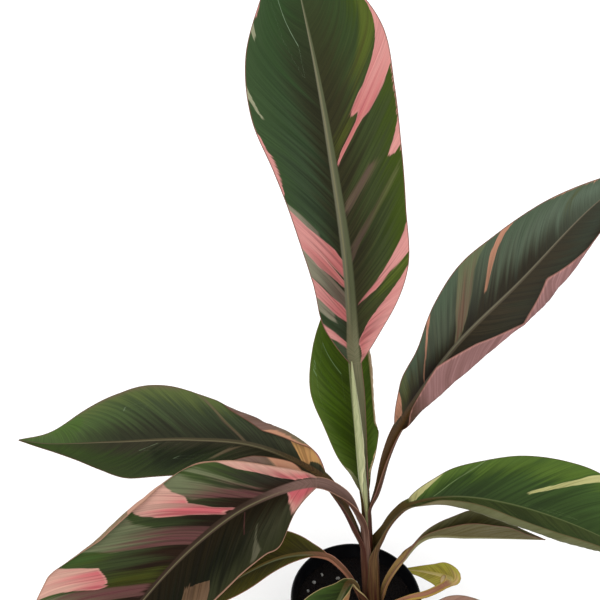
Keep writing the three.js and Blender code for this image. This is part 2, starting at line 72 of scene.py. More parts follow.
class Bench:
    # builds nodes in one tree, with values or other nodes' outputs as inputs
    def __init__(self, tree):
        self.tree = tree

    def put(self, kind, inputs=(), **settings):
        made = self.tree.nodes.new(kind)
        for name, value in settings.items():
            setattr(made, name, value)
        for key, value in dict(inputs).items():
            self.feed(made.inputs[key], value)
        return made

    def out(self, kind, inputs=(), output=0, **settings):
        return Wire(self, self.put(kind, inputs, **settings).outputs[output])

    def feed(self, socket, value):
        if isinstance(value, Wire):
            value = value.socket
        if isinstance(value, bpy.types.NodeSocket):
            self.tree.links.new(value, socket)
        else:
            socket.default_value = value

    def sum(self, operation, first, second=0.0):
        # one step of reckoning
        return self.out("ShaderNodeMath", {0: first, 1: second}, operation=operation)

    def spread(self, value, low, high, toLow=0.0, toHigh=1.0, kind="LINEAR"):
        limits = {"From Min": low, "From Max": high, "To Min": toLow, "To Max": toHigh}
        return self.out("ShaderNodeMapRange", {"Value": value, **limits}, interpolation_type=kind)

    def ease(self, *limits):
        return self.spread(*limits, kind="SMOOTHSTEP")

    def vector(self, x, y, z=0.0):
        return self.out("ShaderNodeCombineXYZ", {0: x, 1: y, 2: z})

    def parts(self, vector):
        return [Wire(self, output) for output in self.put("ShaderNodeSeparateXYZ", {0: vector}).outputs]

    def noise(self, vector, scale=1.0, detail=2.0, rough=0.5):
        settings = {"Vector": vector, "Scale": scale, "Detail": detail, "Roughness": rough}
        return self.out("ShaderNodeTexNoise", settings, "Fac")

    def blend(self, share, first, second):
        return self.out("ShaderNodeMix", {0: share, 6: first, 7: second}, 2, data_type="RGBA")

    def tint(self, base, colour, *limits):
        # lays a colour over the base where a value eases from its first limit to its second
        return self.blend(self.ease(*limits), base, colour)

    def shape(self, kind, geometry, **inputs):
        # one Geometry Nodes step on some geometry
        return self.out("GeometryNode" + kind, {"Geometry": geometry, **inputs})

    def read(self, name):
        return self.out("ShaderNodeAttribute", (), "Fac", attribute_name=name)

    def coat(self, shader, colour, rough, relief, depth, strength=0.4, specular=0.5):
        # colour, roughness and fine relief of one material; depth in metres
        self.feed(shader.inputs["Base Color"], colour)
        self.feed(shader.inputs["Roughness"], rough)
        shader.inputs["Specular IOR Level"].default_value = specular
        bump = self.out("ShaderNodeBump", {"Strength": strength, "Distance": depth, "Height": relief})
        self.feed(shader.inputs["Normal"], bump)


def newMaterial(name):
    made = bpy.data.materials.new(name)
    made.use_nodes = True
    made.node_tree.nodes.clear()
    bench = Bench(made.node_tree)
    shader = bench.put("ShaderNodeBsdfPrincipled")
    out = bench.put("ShaderNodeOutputMaterial")
    bench.tree.links.new(shader.outputs[0], out.inputs[0])
    return made, bench, shader


def newObject(name, data):
    made = bpy.data.objects.new(name, data)
    bpy.context.scene.collection.objects.link(made)
    return made


def meshFrom(name, points, faces, edges=()):
    # points in millimetres
    mesh = bpy.data.meshes.new(name)
    mesh.from_pydata((np.asarray(points) * mm).tolist(), edges, faces)
    mesh.update()
    return mesh


def quads(rows, wide, start=0, closed=False, flip=False):
    # faces between the points of a grid that is stored row by row
    faces = []
    for i in range(rows - 1):
        for j in range(wide if closed else wide - 1):
            a, b = (start + i * wide + k for k in (j, (j + 1) % wide))
            faces.append((a, a + wide, b + wide, b) if flip else (a, b, b + wide, a + wide))
    return faces


def addNumbers(mesh, name, numbers, kind="FLOAT"):
    layer = mesh.attributes.new(name, kind, "POINT")
    field = "value" if kind == "FLOAT" else "vector"
    layer.data.foreach_set(field, np.asarray(numbers, np.float32).ravel())


def growTree(name, sockets):
    # a Geometry Nodes tree with a geometry input and output, and named inputs
    tree = bpy.data.node_groups.new(name, "GeometryNodeTree")
    tree.interface.new_socket("Geometry", in_out="INPUT", socket_type="NodeSocketGeometry")
    for label, kind in sockets:
        tree.interface.new_socket(label, in_out="INPUT", socket_type="NodeSocket" + kind)
    tree.interface.new_socket("Geometry", in_out="OUTPUT", socket_type="NodeSocketGeometry")
    bench = Bench(tree)
    return tree, bench, bench.put("NodeGroupInput"), bench.put("NodeGroupOutput")


def wearTree(piece, tree, values):
    # puts the tree on the piece and sets its named inputs
    modifier = piece.modifiers.new(tree.name, "NODES")
    modifier.node_group = tree
    for item in tree.interface.items_tree:
        if item.in_out == "INPUT" and item.name in values:
            modifier[item.identifier] = values[item.name]


def freeze(piece, sharpAngle=None):
    # turns the piece and its modifiers into one plain mesh
    bpy.context.view_layer.update()
    ready = piece.evaluated_get(bpy.context.evaluated_depsgraph_get())
    mesh = bpy.data.meshes.new_from_object(ready)
    mesh.name = piece.name
    piece.modifiers.clear()
    old = piece.data
    piece.data = mesh
    bpy.data.meshes.remove(old)
    mesh.shade_smooth()
    if sharpAngle:
        mesh.set_sharp_from_angle(angle=math.radians(sharpAngle))


def place(piece, node):
    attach(piece, "root")
    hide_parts(node)
    print("placed", piece.name, len(piece.data.polygons), "faces")


stem = {
    "foot": [14, -3, 66],  # the false stem's axis leans from here
    "head": [4, 4, 196],  # to here
    "sheathFoot": 66.4,  # height where the sheaths end in the soil
}

# how every leaf is built: lengths in millimetres and angles in degrees, where a note says nothing else
section = {
    "sheathWall": 0.6,
    "bladeThickness": 0.5,
    "petioleDepth": 2.2,  # thickness along the back of the petiole
    "tipDepth": 0.7,  # the same at the tip of the midrib
    "ribLength": 20,  # length over which that rib grows above the sheath
    "channelAngle": 62,  # how far each side of the petiole turns up
    "openingLength": 0.12,  # share of the blade over which the channel opens
    "closingLength": 0.5,  # share of the petiole over which the sheath closes
    "pointWidth": 0.35,  # half width of the very tip
    "creaseLength": 6,  # width of the turn where a margin folds over
    "creaseAngle": 155,  # how far it folds over
    "rowSpacing": 1.15,  # distance between rows of the blade's mesh
    "stalkSpacing": 2.2,  # the same along sheath and petiole
    "fineSpacing": 0.8,  # distance between the stations that the rows are read from
    "sectionSteps": 96,  # steps from midrib to margin in which a section is added up
    "waveShift": 0.3,  # part of a wave by which the left margin's waves are ahead
    "marginThin": 0.45,  # share of the thickness that is lost at the very margin
    "veinLean": 1.4,  # how far a side vein runs on towards the tip
    "veinStart": 0.035,  # share of the blade over which that lean begins
    "widthAhead": 0.08,  # a vein takes the blade's width this share further up
    "tipRoom": 0.12,  # share of what is left to the tip that a vein keeps clear
    "patchSway": 0.5,  # how far the sides of a coloured patch wander
    "endSoftness": 0.6,  # below 1 the ends of a patch blur and run out in longer streaks
    "swaySpacing": 7.0,  # distance between turns of a patch's sides
    "toothSpacing": (1.6, 5.5),  # the same for the fine and broad teeth at a patch's ends
    "randomTicks": 400,  # random numbers drawn for each of these
    "seed": 3,
}
farAway = 20.0  # millimetres; distances to patches and scratches stop there


def easeOf(x):
    x = np.clip(x, 0, 1)
    return x * x * (3 - 2 * x)


def between(values, q):
    values = np.asarray(values, float)
    spot = np.clip(q, 0, 1) * (len(values) - 1)
    i = np.minimum(spot.astype(int), len(values) - 2)
    w = spot - i
    if values.ndim > 1:
        w = w[:, None]
    return values[i] * (1 - w) + values[i + 1] * w


def smoothBetween(values, q):
    values = np.asarray(values, float)
    last = len(values) - 1
    spot = np.clip(q, 0, 1) * last
    i = np.minimum(spot.astype(int), last - 1)
    w = spot - i
    a, b = values[i], values[i + 1]
    before = np.where(i > 0, values[np.maximum(i - 1, 0)], 2 * a - b)
    after = np.where(i + 2 <= last, values[np.minimum(i + 2, last)], 2 * b - a)
    slopeA, slopeB = (b - before) / 2, (after - a) / 2
    square = -3 * a + 3 * b - 2 * slopeA - slopeB
    cube = 2 * a - 2 * b + slopeA + slopeB
    return a + slopeA * w + square * w**2 + cube * w**3


def smoothCurve(points, steps):
    points = np.asarray(points, float)
    padded = np.vstack([2 * points[0] - points[1], points, 2 * points[-1] - points[-2]])
    out = []
    for k in range(len(points) - 1):
        p0, p1, p2, p3 = padded[k:k + 4]
        gaps = [max(np.linalg.norm(b - a), 1e-4) ** 0.5 for a, b in ((p0, p1), (p1, p2), (p2, p3))]
        d0, d1, d2 = gaps
        m1 = ((p1 - p0) / d0 - (p2 - p0) / (d0 + d1) + (p2 - p1) / d1) * d1
        m2 = ((p2 - p1) / d1 - (p3 - p1) / (d1 + d2) + (p3 - p2) / d2) * d1
        w = (np.arange(steps) / steps)[:, None]
        square = -3 * p1 + 3 * p2 - 2 * m1 - m2
        cube = 2 * p1 - 2 * p2 + m1 + m2
        out.append(p1 + m1 * w + square * w**2 + cube * w**3)
    out.append(points[-1:])
    return np.vstack(out)


def stemPoint(z):
    foot, head = np.array(stem["foot"], float), np.array(stem["head"], float)
    return foot + (head - foot) * (z - foot[2]) / (head[2] - foot[2])


def spineOf(leaf):
    angle = math.radians(leaf["azimuth"])
    axis = stemPoint(200) - stemPoint(100)
    axis /= np.linalg.norm(axis)
    outward = np.array([math.cos(angle), math.sin(angle), 0.0])
    outward -= axis * (outward @ axis)
    outward /= np.linalg.norm(outward)
    low, top = stem["sheathFoot"], leaf["sheathTop"]
    sheath = [stemPoint(z) + outward * leaf["radius"] for z in (low, (low + top) / 2, top - 8, top)]
    steps = 60
    fine = smoothCurve([*sheath, *leaf["petiole"], *leaf["midrib"]], steps)
    lengths = np.concatenate([[0], np.cumsum(np.linalg.norm(np.diff(fine, axis=0), axis=1))])
    return {"outward": outward, "fine": fine, "lengths": lengths, "end": lengths[-1],
            "sheath": lengths[3 * steps], "base": lengths[(4 + len(leaf["petiole"])) * steps]}


def pointAt(spine, s):
    return np.stack([np.interp(s, spine["lengths"], spine["fine"][:, k]) for k in range(3)], 1)


def framesAlong(leaf, spine, s):
    reach = 0.6
    ahead = pointAt(spine, np.minimum(s + reach, spine["end"]))
    tangent = ahead - pointAt(spine, np.maximum(s - reach, 0))
    tangent /= np.linalg.norm(tangent, axis=1, keepdims=True)
    turned = np.clip((s - spine["sheath"]) / (spine["base"] - spine["sheath"]), 0, 1)[:, None]
    blade = np.clip((s - spine["base"]) / (spine["end"] - spine["base"]), 0, 1)
    facing = between(leaf["face"], blade)
    facing /= np.linalg.norm(facing, axis=1, keepdims=True)
    normal = spine["outward"] * (turned - 1) + facing * turned
    normal -= tangent * np.sum(normal * tangent, axis=1, keepdims=True)
    normal /= np.linalg.norm(normal, axis=1, keepdims=True)
    return pointAt(spine, s), normal, np.cross(tangent, normal), blade


def sideAt(leaf, side, spine, s, blade):
    opened = easeOf(blade / section["openingLength"])
    along = easeOf(s / spine["sheath"])
    closed = easeOf((s - spine["sheath"]) / (spine["base"] - spine["sheath"]) / section["closingLength"])
    inSheath = s <= spine["sheath"]
    lower = leaf["wrap"] + (leaf["wrapTop"] - leaf["wrap"]) * along
    upper = leaf["wrapTop"] + (section["channelAngle"] - leaf["wrapTop"]) * closed
    wrap = np.where(inSheath, lower, upper)
    topWidth = leaf["radius"] * math.radians(leaf["wrapTop"])
    stalk = topWidth + (leaf["petioleWidth"] - topWidth) * closed
    width = np.where(inSheath, leaf["radius"] * np.radians(wrap), stalk)
    spread = np.maximum(smoothBetween(leaf[side], blade), 0)
    curls, overs = (leaf[name + side.title()] for name in ("curl", "over"))
    return {
        "width": np.maximum(width * (1 - opened) + np.where(blade > 0, spread, 0), section["pointWidth"]),
        "fold": opened * np.radians(between(leaf["fold"], blade)),
        "bend": np.radians(wrap + (between(leaf["bend"], blade) - wrap) * opened),
        "curl": opened * np.radians(between(curls, blade)),
        "over": between(overs, blade),
        "creased": opened * math.radians(section["creaseAngle"]),
    }


def halfSection(leaf, sign, angles, blade, u):
    # sideways and upward distance from the midrib, and the slope, for shares u of the half width
    fine, start = section["sectionSteps"], leaf["curlFrom"]

    def slope(q):
        rolled = angles["curl"][:, None] * np.maximum(0, (q - start) / (1 - start)) ** 1.5
        past = (q - angles["over"][:, None]) * angles["width"][:, None] / section["creaseLength"]
        flat = angles["fold"][:, None] + angles["bend"][:, None] * q
        return flat + rolled + angles["creased"][:, None] * easeOf(past)

    grid = np.linspace(0, 1, fine + 1)
    middle = slope((grid[:-1] + grid[1:])[None, :] / 2)
    width = angles["width"][:, None]
    zero = np.zeros((len(blade), 1))
    across = np.concatenate([zero, np.cumsum(np.cos(middle), 1)], 1) * width / fine
    up = np.concatenate([zero, np.cumsum(np.sin(middle), 1)], 1) * width / fine
    spot = u * fine
    i = np.minimum(spot.astype(int), fine - 1)
    w = spot - i
    across = across[:, i] * (1 - w) + across[:, i + 1] * w
    up = up[:, i] * (1 - w) + up[:, i + 1] * w
    tilt = slope(u[None, :])
    phase = 2 * np.pi * (leaf["waves"] * blade + (section["waveShift"] if sign < 0 else 0))
    ripple = (leaf["wave"] * np.sin(phase) * np.sin(np.pi * blade))[:, None] * u[None, :] ** 2
    return across - ripple * np.sin(tilt), up + ripple * np.cos(tilt), tilt


def veinReach(leaf, spine, side, w):
    # share of the blade where a side vein meets the margin, for the share w where it leaves the midrib
    length = spine["end"] - spine["base"]
    half = np.maximum(smoothBetween(leaf[side], np.clip(w + section["widthAhead"], 0, 1)), 0)
    reach = section["veinLean"] * half / length * (1 - np.exp(-w / section["veinStart"]))
    edge = np.minimum(w + reach, 1 - (1 - w) * section["tipRoom"])
    edge = np.concatenate([[0], np.cumsum(np.maximum(np.diff(edge), 0.1 / len(w)))])
    return edge / edge[-1]


def leafRows(leaf, spine):
    # the veins that the blade's mesh follows, evenly spaced over the sheet
    length = spine["end"] - spine["base"]
    w = np.linspace(0, 1, 2001)
    edges = {side: veinReach(leaf, spine, side, w) for side in ("left", "right")}
    widest = np.maximum(edges["left"], edges["right"])
    cost = np.concatenate([[0], np.cumsum(0.5 * (np.diff(w) + np.diff(widest)))]) * length
    count = max(int(cost[-1] / section["rowSpacing"]), 8)
    rows = np.interp(np.linspace(0, cost[-1], count + 1), cost, w)
    return rows, {side: np.interp(rows, w, edges[side]) for side in edges}


def toneField(patches, sign, w, t, length, half, seed):
    # signed distance, in millimetres, into the nearest patch of one tone; a patch ends raggedly
    # along the veins, each vein by its own length, and its sides sway a little
    chance = np.random.default_rng(seed)
    ticks = np.arange(section["randomTicks"])
    best = np.full(w.shape, -farAway)
    for side, rag, *stops in patches:
        knots = chance.uniform(-1, 1, (3, len(ticks)))
        if (side == "right") != (sign > 0):
            continue
        at, lows, highs = np.transpose(stops) / 1000
        sway = section["patchSway"] * np.interp(t * half / section["swaySpacing"], ticks, knots[0])
        into = np.minimum(w - np.interp(t, at, lows), np.interp(t, at, highs) - w) * length + sway
        steps = [np.interp(w * length / gap + 9.0, ticks, row) for gap, row in
                 zip(section["toothSpacing"], knots[1:])]
        teeth = rag * (0.6 * steps[0] + 0.4 * steps[1])
        # a patch that starts at the midrib or reaches the margin has no ragged end there
        if at[0] > 0.02:
            into = np.minimum(into, section["endSoftness"] * ((t - at[0]) * half + teeth))
        if at[-1] < 0.99:
            into = np.minimum(into, section["endSoftness"] * ((at[-1] - t) * half + teeth))
        best = np.maximum(best, into)
    return np.clip(best, -farAway, farAway)


def scratchField(scratches, sign, w, t, length):
    # signed distance, in millimetres, across the nearest thin pale line
    best = np.full(w.shape, farAway)
    for side, *stops in scratches:
        if (side == "right") != (sign > 0):
            continue
        at, where = np.transpose(stops) / 1000
        across = np.clip((w - np.interp(t, at, where)) * length, -farAway, farAway)
        across[(t < at[0]) | (t > at[-1])] = farAway
        best = np.where(np.abs(across) < np.abs(best), across, best)
    return best


# pink, cream, grey and mauve are the blade's own colours; the dark tone is painted shade and the light green
# one painted light
toneNames = ("pink", "cream", "grey", "mauve", "dark", "paintedLight")


def buildLeaf(leaf):
    spine = spineOf(leaf)
    length = spine["end"] - spine["base"]
    rows, edges = leafRows(leaf, spine)
    columns = leaf["columns"]
    u = np.linspace(0, 1, columns + 1)
    stalkCount = int(spine["base"] / section["stalkSpacing"])
    stalk = np.linspace(0, spine["base"], stalkCount, endpoint=False)
    stations = int(length / section["fineSpacing"]) + 1
    fineS = np.concatenate([stalk, np.linspace(spine["base"], spine["end"], stations)])
    centre, normal, sideways, blade = framesAlong(leaf, spine, fineS)

    thin = np.where(fineS < spine["sheath"], section["sheathWall"], section["bladeThickness"])
    grown = easeOf((fineS - spine["sheath"]) / section["ribLength"])
    depth = section["petioleDepth"] + (section["tipDepth"] - section["petioleDepth"]) * blade**0.8
    rib = section["sheathWall"] + (depth - section["sheathWall"]) * grown

    halves = {}
    for sign, side in ((-1, "left"), (1, "right")):
        angles = sideAt(leaf, side, spine, fineS, blade)
        across, up, tilt = halfSection(leaf, sign, angles, blade, u)
        top = centre[:, None] + sign * across[..., None] * sideways[:, None] + up[..., None] * normal[:, None]
        tilt[:, 0] = 0
        lift = np.cos(tilt)[..., None] * normal[:, None] - sign * np.sin(tilt)[..., None] * sideways[:, None]
        reach = u[None, :] * angles["width"][:, None]
        fade = np.cos(np.pi / 2 * np.minimum(reach / (2 * rib[:, None]), 1))
        wall = thin[:, None] + np.maximum(rib - thin, 0)[:, None] * fade
        wall *= 1 - section["marginThin"] * u[None, :] ** 10
        low = top - lift * wall[..., None]

        # every column is read off where the veins cross it
        width = np.broadcast_to(angles["width"][:, None], reach.shape)
        fields = np.concatenate([top, low, lift, reach[..., None], width[..., None]], 2)
        spots, read = [], []
        for j, t in enumerate(u):
            b = rows + (edges[side] - rows) * t**1.1
            spots.append(np.concatenate([stalk, spine["base"] + b * length]))
            read.append([np.interp(spots[-1], fineS, field) for field in fields[:, j].T])
        read = np.transpose(read, (2, 0, 1))
        grid = dict(zip(("top", "low", "lift"), np.split(read[..., :9], 3, 2)))
        grid.update(reach=read[..., 9], width=read[..., 10], b=(np.stack(spots, 1) - spine["base"]) / length)
        stalkW = (stalk - spine["base"]) / length
        w = np.concatenate([stalkW, rows])[:, None] + np.zeros((1, columns + 1))
        t = np.zeros_like(w) + u[None, :]
        shares = np.linspace(0, 1, 50)
        typical = np.interp(np.clip(w + section["widthAhead"], 0, 1), shares,
                            np.maximum(smoothBetween(leaf[side], shares), 2))
        grid["vein"] = w * length
        grid["across"] = t * sign
        for number, tone in enumerate(toneNames):
            patches = leaf["tones"].get(tone, [])
            grid[tone] = toneField(patches, sign, w, t, length, typical, section["seed"] + number)
        grid["scratch"] = scratchField(leaf["scratches"], sign, w, t, length)
        halves[side] = grid

    def joined(key):
        # left margin to midrib to right margin; the midrib column is shared
        return np.concatenate([halves["left"][key][:, :0:-1], halves["right"][key]], 1)

    top, low, lift = joined("top"), joined("low"), joined("lift")
    count, wide = top.shape[:2]
    lift /= np.linalg.norm(lift, axis=2, keepdims=True)
    points = np.concatenate([top.reshape(-1, 3), low.reshape(-1, 3)])
    faces = quads(count, wide)
    upperFaces = len(faces)
    under = count * wide
    faces += quads(count, wide, under, flip=True)
    for i in range(count - 1):
        a, b = i * wide, i * wide + wide - 1
        faces.append((a, a + wide, under + a + wide, under + a))
        faces.append((b, under + b, under + b + wide, b + wide))
    last = (count - 1) * wide
    for j in range(wide - 1):
        faces.append((j, under + j, under + j + 1, j + 1))
        faces.append((last + j, last + j + 1, under + last + j + 1, under + last + j))
    mesh = meshFrom(leaf["name"], points, faces)
    twice = lambda key: np.concatenate([joined(key).ravel()] * 2)
    for key in ("vein", "across", "reach", "b", "scratch", *toneNames):
        addNumbers(mesh, key, twice(key))
    addNumbers(mesh, "edge", twice("width") - twice("reach"))
    addNumbers(mesh, "lift", np.concatenate([lift.reshape(-1, 3)] * 2), "FLOAT_VECTOR")
    side = mesh.attributes.new("underside", "BOOLEAN", "FACE")
    side.data.foreach_set("value", np.arange(len(faces)) >= upperFaces)
    return mesh


def ridgeTree():
    # the soft pleats along the side veins, and the two finishes
    tree, bench, source, out = growTree("veinRidges", [
        ("Ridge Height", "Float"), ("Wide Spacing", "Float"), ("Fine Spacing", "Float"),
        ("Upper Finish", "Material"), ("Under Finish", "Material")])

    def read(name, kind="FLOAT"):
        return bench.out("GeometryNodeInputNamedAttribute", {"Name": name}, "Attribute", data_type=kind)

    vein, reach, edge = read("vein"), read("reach"), read("edge")
    bent = vein + bench.noise(bench.vector(vein * 0.05, 0.0), detail=1.0) * 14.0
    waves = [bench.sum("SINE", bent * (2 * math.pi) / source.outputs[spacing]) * share
             for spacing, share in (("Wide Spacing", 1.0), ("Fine Spacing", 0.45))]
    patchy = bench.noise(bench.vector(vein * 0.03, reach * 0.03, 5.0))
    strength = bench.ease(patchy, 0.35, 0.65, 0.35, 1.0)
    fade = bench.ease(reach, 2.0, 9.0) * bench.ease(vein, 0.0, 18.0) * bench.ease(edge, 0.0, 4.0, 0.35, 1.0)
    height = (waves[0] + waves[1]) * (strength * fade) * source.outputs["Ridge Height"]
    offset = bench.out("ShaderNodeVectorMath", {0: read("lift", "FLOAT_VECTOR"), "Scale": height},
                       operation="SCALE")
    moved = bench.shape("SetPosition", source.outputs["Geometry"], Offset=offset)
    real = bench.shape("RealizeInstances", moved)
    top = bench.shape("SetMaterial", real, Material=source.outputs["Upper Finish"])
    back = bench.shape("SetMaterial", top, Selection=read("underside", "BOOLEAN"),
                       Material=source.outputs["Under Finish"])
    bench.feed(out.inputs[0], back)
    return tree


skin = {
    # streaks: scale across the veins, scale along them, detail, and place in the noise
    "broad": (0.16, 0.012, 2.0, 3.0),
    "fine": (0.85, 0.03, 3.0, 9.0),
    "thread": (2.6, 0.07, 2.0, 17.0),
    # the dark vein lines are painted shade in the grooves between the pleats
    "veinShade": (0.14, 0.004, 1.0, 31.0),
    "veinShadeDepth": 0.68,  # light left in a dark vein line
    "fineLight": (0.84, 1.14), "threadLight": (0.88, 1.09),  # how far streaks dim and lighten
    "upperRough": (0.4, 0.54), "underRough": (0.46, 0.6),
    # how far each tone's border blurs, in millimetres, from the lowest layer to the top one; the first two,
    # painted light and painted shade, blur the most
    "borders": {"paintedLight": 4.0, "dark": 4.0, "grey": 0.8, "mauve": 1.4, "cream": 0.5, "pink": 0.5},
    "relief": 0.0004,  # metres
    "stalkLine": 2.2,  # how much thinner the line along the margin is on the stalk
    "underLine": 0.9,  # width of that line on the underside, in millimetres
}


def streaksOf(bench):
    # broad and fine streaks that run along the side veins, and along the stalk below the blade
    vein, reach, across = bench.read("vein"), bench.read("reach"), bench.read("across")
    side = bench.sum("SIGN", across)
    sideShift = side * 40.0  # parts the noise of the two halves
    stalk = bench.ease(vein, 4.0, -6.0)

    def streak(name):
        fineScale, longScale, detail, shift = skin[name]
        blade = bench.vector(vein * fineScale, reach * longScale, sideShift + shift)
        upward = bench.vector(reach * side * (1.6 * fineScale), vein * longScale, shift)
        onBlade, onStalk = bench.noise(blade, detail=detail), bench.noise(upward, detail=detail)
        return bench.out("ShaderNodeMix", {0: stalk, 2: onBlade, 3: onStalk}, data_type="FLOAT")

    # thin dark lines along some veins, fading towards the margin and the tip: painted shade in the grooves
    # between the pleats
    fineScale, longScale, detail, shift = skin["veinShade"]
    where = bench.vector(vein * fineScale, reach * longScale, sideShift + shift)
    crossing = bench.noise(where, detail=detail)
    streaks = {name: streak(name) for name in ("broad", "fine", "thread")}
    streaks.update(stalk=stalk, reach=reach, across=abs(across), signed=across, along=bench.read("b"))
    streaks["veinShade"] = (bench.ease(abs(crossing - 0.5), 0.05, 0.005) * bench.ease(abs(across), 1.0, 0.6)
                         * bench.ease(streaks["along"], 0.85, 0.4, 0.25, 1.0))
    return streaks


def toneOver(bench, base, name, streaks, colours, soft=0.5):
    # lays one tone over the base, deeper by the midrib and paler by the margin, with a pale fringe
    # where its border is crisp
    fine = streaks["fine"]
    field = bench.read(name) + (fine - 0.5) * (0.8 + 2.4 * soft)
    inner = bench.tint(colours[0], colours[1], fine, 0.35, 0.65)
    outward = streaks["across"] + (streaks["broad"] - 0.5) * 1.2
    colour = bench.tint(inner, colours[2], outward, 0.3, 0.95)
    if soft < 1:
        colour = bench.blend(bench.ease(field, 1.6, 0.4) * 0.45, colour, colours[2])
    return bench.tint(base, colour, field, -soft, soft)


def sideBase(bench, streaks, colours):
    # the colour of one half of the blade: it changes towards the root and the tip, and the centre colour by
    # the midrib and the rim colour by the margin are partly the blade's own colour and partly painted shade
    # by the midrib and painted light by the margin
    root, body, tip, centre, rim = colours
    along, wander = streaks["along"], streaks["broad"] - 0.5
    outward = streaks["across"] + wander * 0.9
    upward = along + wander * 0.3
    toned = bench.tint(body, root, upward, 0.32, 0.08)
    toned = bench.tint(toned, tip, upward, 0.45, 0.9)
    toned = bench.tint(toned, rim, outward, 0.55, 1.0)
    # painted shade along the midrib, fading towards the tip
    shadeByMidrib = bench.ease(outward, 0.6, 0.1) * bench.ease(along, 0.95, 0.6, 0.15, 1.0)
    return bench.blend(shadeByMidrib, toned, centre)


def lineAndRelief(bench, shader, toned, stalkColour, streaks, colours, line, rough):
    # the stalk below the blade, the thin line along the margin, and what both sides share
    stalk = streaks["stalk"]
    toned = bench.blend(stalk, toned, stalkColour)
    edge = bench.read("edge") * bench.spread(stalk, 0.0, 1.0, 1.0, skin["stalkLine"])
    toned = bench.tint(toned, colours["line"], edge, line, 0.2)
    bench.coat(shader, toned, bench.spread(streaks["fine"], 0.3, 0.7, *rough), streaks["thread"],
               skin["relief"], specular=colours["sheen"])


def upperFinish(name, colours):
    made, bench, shader = newMaterial(name)
    streaks = streaksOf(bench)
    fine, along, signed = streaks["fine"], streaks["along"], streaks["signed"]
    halves = [sideBase(bench, streaks, colours[side]) for side in ("left", "right")]
    toned = bench.blend(bench.ease(signed, -0.012, 0.012), *halves)
    # the dark tone lays on painted shade and the light green tone painted light
    for tone, soft in skin["borders"].items():
        if tone in colours:
            toned = toneOver(bench, toned, tone, streaks, colours[tone], soft)
    if "scratch" in colours:
        toned = bench.tint(toned, colours["scratch"], abs(bench.read("scratch")), 0.75, 0.3)
    light = bench.spread(fine, 0.3, 0.7, *skin["fineLight"])
    light = light * bench.spread(streaks["thread"], 0.3, 0.7, *skin["threadLight"])
    # the vein lines dim the colour: painted shade
    light = light * bench.spread(streaks["veinShade"], 0.0, 1.0, 1.0, skin["veinShadeDepth"])
    grey = bench.out("ShaderNodeCombineColor", {0: light, 1: light, 2: light})
    toned = bench.out("ShaderNodeMix", {0: 1.0, 6: toned, 7: grey}, 2, data_type="RGBA",
                      blend_type="MULTIPLY")
    stalkColour = bench.tint(colours["stalk"], colours["stalkToo"], fine, 0.35, 0.65)
    width, shift = (bench.spread(along, 0.0, 0.85, *ends) for ends in
                    ((colours["ribWidth"], 0.3), (colours["ribShift"], 0.0)))
    offRib = (streaks["reach"] * bench.sum("SIGN", signed) + shift) / width
    # across the midrib one flank is lighter than the other, and a stripe of the keel colour along the lighter
    # flank is a painted highlight: painted light and shade on the rounded rib
    rib = bench.tint(colours["midribToo"], colours["midrib"], offRib, -0.5, 0.5)
    rib = bench.tint(rib, colours["keelAndHighlight"], abs(offRib + 0.35), 0.28, 0.05, 0.0, 0.55)
    rib = bench.tint(rib, stalkColour, along, 0.2, 0.03)
    toned = bench.tint(toned, rib, abs(offRib), 1.25, 0.8)
    lineAndRelief(bench, shader, toned, stalkColour, streaks, colours, colours["lineWidth"],
                  skin["upperRough"])
    return made


def underFinish(name, colours):
    made, bench, shader = newMaterial(name)
    streaks = streaksOf(bench)
    fine, broad, along = streaks["fine"], streaks["broad"], streaks["along"]
    toned = bench.tint(colours["under"], colours["underToo"], fine, 0.3, 0.7)
    toned = bench.blend(bench.ease(broad, 0.4, 0.7) * 0.6, toned, colours["underDark"])
    toned = bench.tint(toned, colours["underRoot"], along, 0.2, 0.07)
    if "pinkUnder" in colours:
        toned = toneOver(bench, toned, "pink", streaks, colours["pinkUnder"])
    rib = bench.ease(streaks["reach"] / bench.spread(along, 0.0, 1.0, 3.2, 0.6), 1.3, 0.7)
    toned = bench.blend(rib, toned, colours["keelAndHighlight"])
    stalkColour = bench.tint(colours["back"], colours["backToo"], fine, 0.35, 0.65)
    stalkColour = bench.tint(stalkColour, colours["backDark"], broad, 0.42, 0.62)
    lineAndRelief(bench, shader, toned, stalkColour, streaks, colours, skin["underLine"], skin["underRough"])
    return made


# keel is the midrib's own colour on the underside, and on the upper side the colour of a painted highlight
# along the midrib
greenLeaf = dict(
    left=((66, 80, 40), (60, 76, 38), (64, 84, 44), (52, 60, 34), (70, 90, 42)),
    right=((66, 80, 40), (60, 76, 38), (64, 84, 44), (52, 60, 34), (70, 90, 42)), midrib=(80, 88, 56),
    midribToo=(98, 104, 74), ribWidth=2.3, ribShift=0.0, lineWidth=0.75, line=(118, 86, 68), sheen=0.08,
    gain=1.4, stalk=(84, 66, 42), stalkToo=(98, 80, 50), under=(126, 130, 96), underToo=(112, 118, 84),
    underDark=(98, 102, 74), underRoot=(120, 112, 84), keelAndHighlight=(134, 130, 94), back=(92, 62, 48),
    backToo=(112, 84, 56), backDark=(72, 44, 38))


def leafPaint(changes):
    # from colours as they look in the studio to the paint below the sheen: the sheen's haze is taken off and
    # the rest divided by the leaf's gain, how much light falls on it, so the paint is mostly a little darker;
    # a leaf in shade has a gain below 1 and gets lighter paint, painted light in place of the light it misses
    merged = {**greenLeaf, **changes}
    haze = 0.004 + 0.06 * merged["sheen"]

    def below(value):
        if isinstance(value, (int, float)):
            return value
        if isinstance(value[0], tuple):
            return tuple(below(inner) for inner in value)
        channels = paint(*value)[:3]
        return tuple(max((channel - haze) / merged["gain"], 0.002) for channel in channels) + (1.0,)

    return {key: below(value) for key, value in merged.items()}


